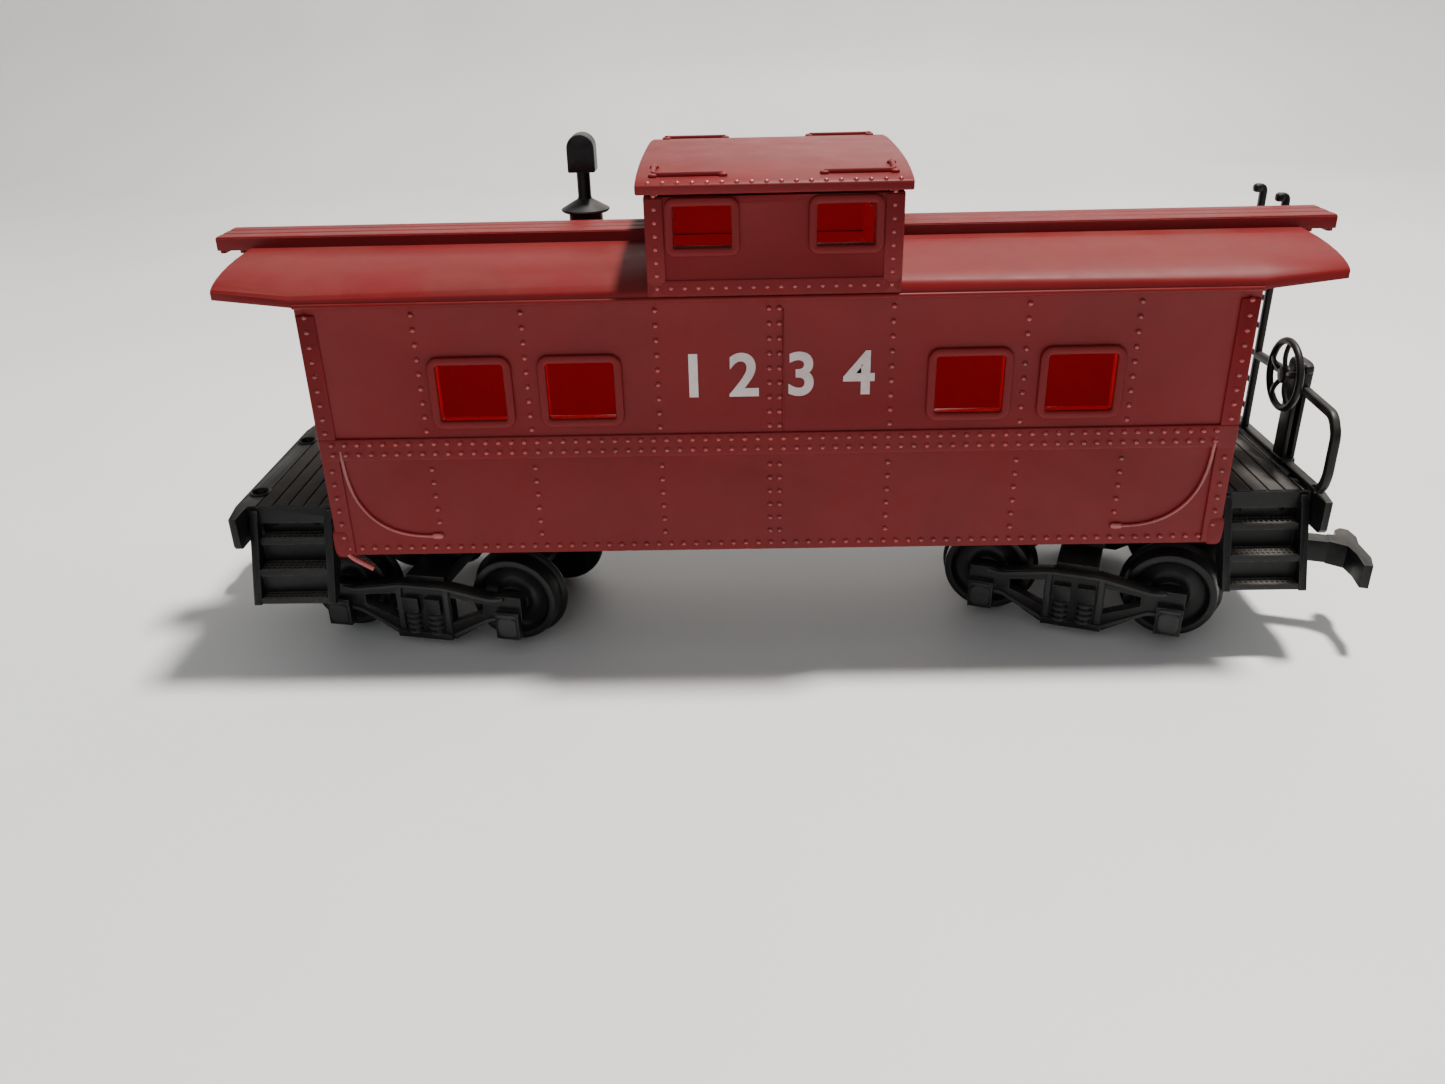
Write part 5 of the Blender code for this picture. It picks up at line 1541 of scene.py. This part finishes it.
# ---- End railing and brake --------------------------------------------------------------
@dataclass
class EndRailing:
    """Railing, brake stand and roof ladder of the right end."""

    finishes: Finishes
    x: float = 62.5
    base: float = 19.95
    rail: float = 29.5
    near_y: float = -15.7
    stand_y: float = -4.6
    stand_width: float = 2.8
    ladder_y: tuple[float, float] = (6.0, 12.7)
    ladder_top: float = 49.9
    rung_count: int = 7
    first_rung: float = 3.15
    last_rung: float = 44.2
    strip_end: float = 13.2

    def build(self) -> None:
        """Builds the whole moulding and replaces the CAD node."""
        parts = [self.base_strip(), *self.rails(), *self.stand(), *self.ladder()]
        piece = van_piece(parts, "end_railing_moulding", self.finishes.gear)
        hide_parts("end_railing")

    def base_strip(self) -> Shape:
        """The flat strip that joins all the feet along the beam.

        Returns:
            The strip.
        """
        z = self.base + 0.3
        profile = soft_rectangle(1.2, 0.7, 5.0)
        return beam((self.x, self.near_y + 0.9, z), (self.x, self.strip_end, z), profile, UP)

    def rails(self) -> list[Shape]:
        """The bent near rail and the level far rail, of nearly square bar.

        Returns:
            The near rail and the far rail.
        """
        bar = soft_rectangle(1.05, 1.0, 3.6, 16)
        near = filleted([
            (self.x, self.stand_y - 0.6, self.rail + 0.35),
            (self.x, self.near_y + 1.4, self.rail - 0.15),
            (self.x, self.near_y, self.rail - 1.9),
            (self.x, self.near_y - 0.1, self.base + 2.6),
            (self.x, self.near_y + 0.5, self.base + 0.9),
            (self.x, self.near_y + 1.9, self.base + 0.35),
        ], 0.9)
        far = filleted([
            (self.x, self.stand_y + 0.6, self.rail + 0.7),
            (self.x - 0.2, 0.0, self.rail + 0.8),
            (self.x - 0.5, self.ladder_y[0], self.rail + 0.7),
        ], 1.2)
        return [sweep(near, bar, ALONG), sweep(far, bar, ALONG)]

    def stand(self) -> list[Shape]:
        """An I-section post, its foot, and the gear housing with its chain boss.

        Returns:
            Its seven blocks and bars.
        """
        x, y, rail = self.x, self.stand_y, self.rail
        half = self.stand_width / 2
        flange = soft_rectangle(0.62, self.stand_width, 5.0)
        web = soft_rectangle(1.5, 0.8, 5.0)
        low = self.base + 0.2
        top = rail + 0.4
        return [
            beam((x - 0.5, y, low), (x - 0.5, y, top), flange, ACROSS),
            beam((x + 0.5, y, low), (x + 0.5, y, top), flange, ACROSS),
            beam((x, y, low), (x, y, top), web, ACROSS),
            soft_block((x - 0.95, y - half - 0.3, self.base), (x + 0.95, y + half + 0.3, self.base + 0.9)),
            soft_block((x - 0.85, y - 1.9, rail - 0.3), (x + 1.0, y + 1.9, rail + 3.4), 4.5),
            soft_block((x + 0.5, y - 1.1, rail + 0.9), (x + 1.35, y + 1.1, rail + 3.0), 3.0),
            soft_block((x - 0.6, y - 2.5, rail + 2.2), (x + 0.6, y - 1.3, rail + 3.3), 3.0),
        ]

    def ladder(self) -> list[Shape]:
        """Two stiles whose tops bend over towards the roof, and round rungs.

        Returns:
            Stiles, hooked tops and rungs.
        """
        bar = soft_rectangle(0.85, 0.9, 3.6, 16)
        rung = soft_rectangle(0.65, 0.65, 2.2, 14)
        x, top = self.x - 0.55, self.ladder_top
        parts = []
        for y in self.ladder_y:
            path = filleted([(x, y, self.base + 0.3), (x, y, top - 0.1), (x - 0.95, y, top - 0.1)], 0.7)
            parts.append(sweep(path, bar, ACROSS))
            parts.append(soft_block((x - 1.3, y - 0.55, top - 0.75), (x - 0.2, y + 0.55, top + 0.3), 3.0, 20))
        for z in np.linspace(self.base + self.first_rung, self.last_rung, self.rung_count):
            parts.append(beam((x, self.ladder_y[0], z), (x, self.ladder_y[1], z), rung, UP))
        return parts


@dataclass
class BrakeWheel:
    """The handwheel on the inner face of the brake housing."""

    finishes: Finishes
    x: float = 60.8
    y: float = -4.6
    z: float = 31.0
    radius: float = 4.4
    rim: float = 0.42
    spokes: int = 5
    spoke_start: float = 0.6
    spoke_dish: float = 0.32

    def build(self) -> None:
        """Builds a dished wheel round local Z, turns it to face along X and replaces the node."""
        turn = np.linspace(0.0, math.tau, 12, endpoint=False)
        tyre = np.stack([self.radius - self.rim + self.rim * np.cos(turn), self.rim * np.sin(turn)], -1)
        hub = np.array([
            [0.1, 0.62], [0.8, 0.55], [1.05, 0.3], [1.1, -0.2], [0.75, -0.5], [0.5, -0.6], [0.5, -2.0]
        ])
        parts = [turned(tyre, 56, ring=True), turned(hub, 28)]
        spoke = soft_rectangle(0.62, 0.5, 2.6, 12)
        share = np.linspace(0.0, 1.0, 9)[:, None]
        reach = self.spoke_start + (self.radius - self.rim - self.spoke_start) * share
        dish = self.spoke_dish * np.sin(math.pi * share)
        for angle in math.tau * np.arange(self.spokes) / self.spokes:
            direction = np.array([math.cos(angle), math.sin(angle), 0.0])
            parts.append(sweep(direction * reach + np.array(UP) * dish, spoke, UP))
        facing = np.eye(4)
        facing[:3, :3] = [[0.0, 0.0, -1.0], [0.0, 1.0, 0.0], [1.0, 0.0, 0.0]]
        facing[:3, 3] = (self.x, self.y, self.z)
        wheel = together(parts).moved(facing)
        piece = make_piece(wheel, "brake_handwheel", self.finishes.gear, "brake_wheel")
        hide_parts("brake_wheel")


# ---- Trucks -----------------------------------------------------------------------------
@dataclass
class Truck:
    """One truck: side frames with springs and journal lids, wheelsets and coupler."""

    finishes: Finishes
    end: End
    wheelbase: float = 22.0
    axle_z: float = 6.1
    outer_y: float = 12.5
    frame_top: float = 8.5
    frame_bottom: float = 1.2
    spring_x: float = 1.45
    spring_radius: float = 1.08
    spring_top: float = 4.95
    spring_wave: float = 0.16
    spring_pitch: float = 0.78
    lid_offset: float = 0.2
    column_x: float = 3.1

    def __post_init__(self) -> None:
        """Reads the truck's place and heading from the joints of the frame."""
        self.label = self.end.name.lower()
        self.body = f"truck_{self.label}"
        joints = {joint["name"]: joint for joint in frame["joints"]}
        swivel = joints[f"{self.body}_swivel"]["pos_m"]
        axis = joints[f"wheelset_{self.label}_outer_spin"]["axis"]
        yaw = math.atan2(-axis[0], axis[1])
        heading = yaw if self.end is End.RIGHT else yaw + math.pi
        self.place = placed((swivel[0] / MM, swivel[1] / MM, 0.0), heading)

    def build(self) -> None:
        """Builds every piece of the truck."""
        gear = self.finishes.gear
        softened_copy(f"truck_frame_{self.label}", gear, self.body, 0.2)
        softened_copy(f"coupler_cover_{self.label}", gear, self.body, 0.15)
        softened_copy(f"coupler_{self.label}", gear, f"coupler_{self.label}", 0.28)
        self.frame_details()
        for position, x in (("outer", self.wheelbase / 2), ("inner", -self.wheelbase / 2)):
            self.wheelset(position, x)

    def frame_details(self) -> None:
        """Springs, journal lids, bolts, column guides and arch bars of both side frames."""
        parts = []
        for side in (-1, 1):
            y = side * self.outer_y
            lid_x = self.wheelbase / 2 + self.lid_offset
            for sign in (-1, 1):
                parts.append(self.spring(sign * self.spring_x, side * (self.outer_y - 0.15)))
                parts.append(self.journal_lid(sign * lid_x, side))
            parts += self.columns(y, side)
            parts += self.arch_bars(y)
        shape = together(parts).moved(self.place)
        make_piece(shape, f"truck_details_{self.label}", self.finishes.rim, self.body)

    def columns(self, y: float, side: int) -> list[Shape]:
        """The two upright column guides beside the springs, each with a bolt near its ends.

        Args:
            y: the side frame's outer face.
            side: the sign of the side, as the truck stands unturned.

        Returns:
            Bolts and guides.
        """
        column = soft_rectangle(0.8, 0.7, 4.0, 16)
        places = (-self.column_x, self.column_x)
        heights = (self.frame_bottom + 1.4, self.frame_top - 0.9)
        bolts = np.array([[x, y, z] for x in places for z in heights])
        parts = [domes(bolts, (0.0, float(side), 0.0), 0.42, 0.36)]
        for x in places:
            parts.append(beam((x, y, self.frame_bottom + 0.5), (x, y, self.frame_top - 0.4), column, ACROSS))
        return parts

    def arch_bars(self, y: float) -> list[Shape]:
        """The arched top bar of a side frame, and the lower bar in two halves.

        Args:
            y: the side frame's outer face.

        Returns:
            The bars.
        """
        chord = soft_rectangle(0.5, 0.62, 3.0, 12)
        half = self.wheelbase / 2
        top = filleted([
            (-half + 0.4, y, self.axle_z + 1.3), (-half + 2.0, y, self.axle_z + 1.0),
            (-2.9, y, self.frame_top - 0.3), (2.9, y, self.frame_top - 0.3),
            (half - 2.0, y, self.axle_z + 1.0), (half - 0.4, y, self.axle_z + 1.3),
        ], 0.7)
        parts = [sweep(top, chord, ACROSS)]
        for sign in (-1, 1):
            low = filleted([
                (sign * 3.6, y, self.frame_bottom + 0.5), (sign * (half - 2.2), y, self.axle_z - 1.55),
                (sign * (half - 0.6), y, self.axle_z - 1.5),
            ], 0.7)
            parts.append(sweep(low, chord, ACROSS))
        return parts

    def spring(self, x: float, y: float) -> Shape:
        """A moulded coil spring: a column with radius outer - wave + wave * cos(turn) over its height.

        Args:
            x: its place along the truck.
            y: its place across the truck.

        Returns:
            A closed shape.
        """
        low = self.frame_bottom + 0.8
        height = np.linspace(low, self.spring_top, 41)
        turn = (height - low) * math.tau / self.spring_pitch
        wave = self.spring_radius - self.spring_wave + self.spring_wave * np.cos(turn)
        return turned(np.stack([wave, height], -1), 20).moved(placed((x, y, 0.0)))

    def journal_lid(self, x: float, side: int) -> Shape:
        """The lid of a journal box: a soft plate with a hinge bar along its top.

        Args:
            x: its place along the truck.
            side: the sign of the side, as the truck stands unturned.

        Returns:
            Plate and bar as one shape.
        """
        y = side * (self.outer_y + 1.0)
        near, far = sorted((y - side * 0.3, y + side * 0.25))
        z = self.axle_z
        lid = soft_block((x - 1.2, near, z - 3.3), (x + 1.2, far, z - 0.75), 4.0, 24)
        bar = soft_block((x - 1.3, near, z - 0.8), (x + 1.3, far, z - 0.2), 3.0, 16)
        return together([lid, bar])

    def wheelset(self, position: str, x: float) -> None:
        """An axle with its two wheels, turned round local Y and put in the truck.

        Args:
            position: which axle of the truck: outer or inner.
            x: its place along the truck.
        """
        body = f"wheelset_{self.label}_{position}"
        lying = np.eye(4)
        lying[:3, :3] = [[1.0, 0.0, 0.0], [0.0, 0.0, 1.0], [0.0, -1.0, 0.0]]
        lying[:3, 3] = (x, 0.0, self.axle_z)
        axle = np.array([
            [0.3, -11.6], [0.62, -11.1], [0.98, -10.6], [1.0, -10.45], [1.0, -7.0], [0.92, -6.6],
            [0.92, 6.6], [1.0, 7.0], [1.0, 10.45], [0.98, 10.6], [0.62, 11.1], [0.3, 11.6],
        ])
        rod = make_piece(
            turned(axle, 24).moved(lying).moved(self.place), f"axle_rod_{self.label}_{position}",
            self.finishes.wheel, body,
        )
        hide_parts(f"axle_{self.label}_{position}")
        near = -1 if self.end is End.RIGHT else 1
        for name, side in (("near", near), ("far", -near)):
            self.wheel(name, side, body, position, lying)

    def wheel(self, name: str, side: int, body: str, position: str, lying: np.ndarray) -> None:
        """A flanged wheel: rim, dished web and raised hub as one turned profile.

        Args:
            name: which side of the van: near or far.
            side: the sign of the side, as the truck stands unturned.
            body: the body that it turns with.
            position: which axle of the truck: outer or inner.
            lying: the matrix that lays a turned profile on the axle.
        """
        profile = np.array([
            [1.28, 7.2], [2.2, 7.2], [2.5, 7.5], [4.3, 7.55], [4.6, 7.2], [5.6, 7.2], [5.95, 7.28],
            [6.08, 7.45], [6.1, 7.58], [6.02, 7.74], [5.75, 7.9], [5.55, 8.05], [5.5, 8.3], [5.42, 10.1],
            [5.34, 10.26], [5.15, 10.3], [4.62, 10.3], [4.48, 10.22], [4.38, 10.0], [4.2, 9.62],
            [3.9, 9.46], [2.9, 9.4], [2.4, 9.46], [2.15, 9.7], [2.0, 10.2], [1.9, 10.38], [1.7, 10.44],
            [1.28, 10.44],
        ])
        points = profile * [1.0, side]
        shape = turned(points, 72, ring=True).moved(lying).moved(self.place)
        piece = make_piece(
            shape, f"wheel_disc_{self.label}_{position}_{name}", self.finishes.wheel, body
        )
        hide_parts(f"wheel_{self.label}_{position}_{name}")


# ---- Studio -----------------------------------------------------------------------------
@dataclass
class Studio:
    """Pale floor and backdrop, soft lights and the camera."""

    camera_at: Triple = (-0.00331, -0.13875, 0.07548)
    camera_turn: Triple = (63.98, 1.30, 0.69)
    lens: float = 29.12
    floor_front: float = -0.6
    floor_back: float = 0.36
    floor_curve: float = 0.06
    floor_half: float = 1.2
    wall_span: tuple[float, float] = (0.1, 0.9)
    room_colour: Colour = (0.86, 0.88, 0.9)
    room_strength: float = 0.30

    def build(self) -> None:
        """Builds floor, lights, world and camera."""
        self.floor()
        self.light("key_window", (0.13, 0.05, 0.62), (0.0, 0.0, 0.02), 0.06, 8.2, (1.0, 0.975, 0.94))
        self.light("front_fill", (-0.15, -0.55, 0.30), (0.0, 0.0, 0.03), 0.5, 0.55, (0.95, 0.97, 1.0))
        world = bpy.data.worlds.new("room")
        world.use_nodes = True
        background = world.node_tree.nodes["Background"]
        background.inputs["Color"].default_value = (*self.room_colour, 1.0)
        background.inputs["Strength"].default_value = self.room_strength
        bpy.context.scene.world = world
        self.camera()

    def floor(self) -> None:
        """A pale floor that runs back, curves up through a quarter circle and ends as a pale wall."""
        bend = np.linspace(0, math.pi / 2, 10)[1:]
        level = np.linspace(self.floor_front, self.floor_back, 12)
        wall = np.linspace(*self.wall_span, 6)
        curve_y = self.floor_back + self.floor_curve * np.sin(bend)
        curve_z = self.floor_curve - self.floor_curve * np.cos(bend)
        depth = np.concatenate([level, curve_y, np.full(6, self.floor_back + self.floor_curve)])
        rise = np.concatenate([np.zeros(12), curve_z, wall])
        width = np.linspace(-self.floor_half, self.floor_half, 9)
        grid = np.stack(np.broadcast_arrays(width[None, :], depth[:, None], rise[:, None] - FLOOR_GAP), -1)
        shape = Shape()
        shape.patch(grid)
        mesh = bpy.data.meshes.new("pale_floor")
        mesh.from_pydata(shape.points[0].tolist(), [], shape.quads[0].tolist())
        mesh.shade_smooth()
        mesh.materials.append(self.board())
        ground = bpy.data.objects.new("pale_floor", mesh)
        bpy.context.scene.collection.objects.link(ground)

    def board(self) -> bpy.types.Material:
        """The painted board of the floor and wall.

        Returns:
            A node material.
        """
        material = bpy.data.materials.new("pale_board")
        material.use_nodes = True
        wires = Wiring(material.node_tree)
        shader = material.node_tree.nodes["Principled BSDF"]
        cloud = wires.ramp(wires.noise(9.0, 3.0), 0.3, 0.7)
        wires.join(wires.mix(cloud, BOARD_DARK, BOARD_LIGHT), shader.inputs["Base Color"])
        shader.inputs["Roughness"].default_value = 0.55
        return material

    def light(self, name: str, at: Triple, aim: Triple, size: float, power: float, colour: Colour) -> None:
        """A square area light that looks at a point.

        Args:
            name: the light's name.
            at: where it stands, in metres.
            aim: the point it faces.
            size: its edge, in metres.
            power: its power in watts.
            colour: its colour.
        """
        data = bpy.data.lights.new(name, "AREA")
        data.energy = power
        data.size = size
        data.color = colour
        lamp = bpy.data.objects.new(name, data)
        bpy.context.scene.collection.objects.link(lamp)
        lamp.location = at
        lamp.rotation_mode = "QUATERNION"
        lamp.rotation_quaternion = look(at, aim)

    def camera(self) -> None:
        """The camera, low in front of the van and looking down at it."""
        data = bpy.data.cameras.new("camera")
        data.lens = self.lens
        data.sensor_width = 36.0
        data.clip_start = 0.005
        data.clip_end = 20.0
        camera = bpy.data.objects.new("camera", data)
        bpy.context.scene.collection.objects.link(camera)
        camera.location = self.camera_at
        camera.rotation_euler = [math.radians(angle) for angle in self.camera_turn]
        bpy.context.scene.camera = camera


def look(at: Triple, aim: Triple) -> Quaternion:
    """The turn that points an object's -Z from one place to another."""
    return (Vector(aim) - Vector(at)).to_track_quat("-Z", "Y")


def main() -> None:
    """Builds the van, its running gear and the studio in order."""
    logging.basicConfig(level=logging.INFO, format="%(name)s: %(message)s")
    finishes = Finishes().build()
    VanBody(finishes).build()
    Cupola(finishes).build()
    Smokejack(finishes).build()
    Underframe(finishes).build()
    Steps(finishes).build()
    EndRailing(finishes).build()
    BrakeWheel(finishes).build()
    for end in End:
        Truck(finishes, end).build()
    Studio().build()


if __name__ == "__main__":
    main()
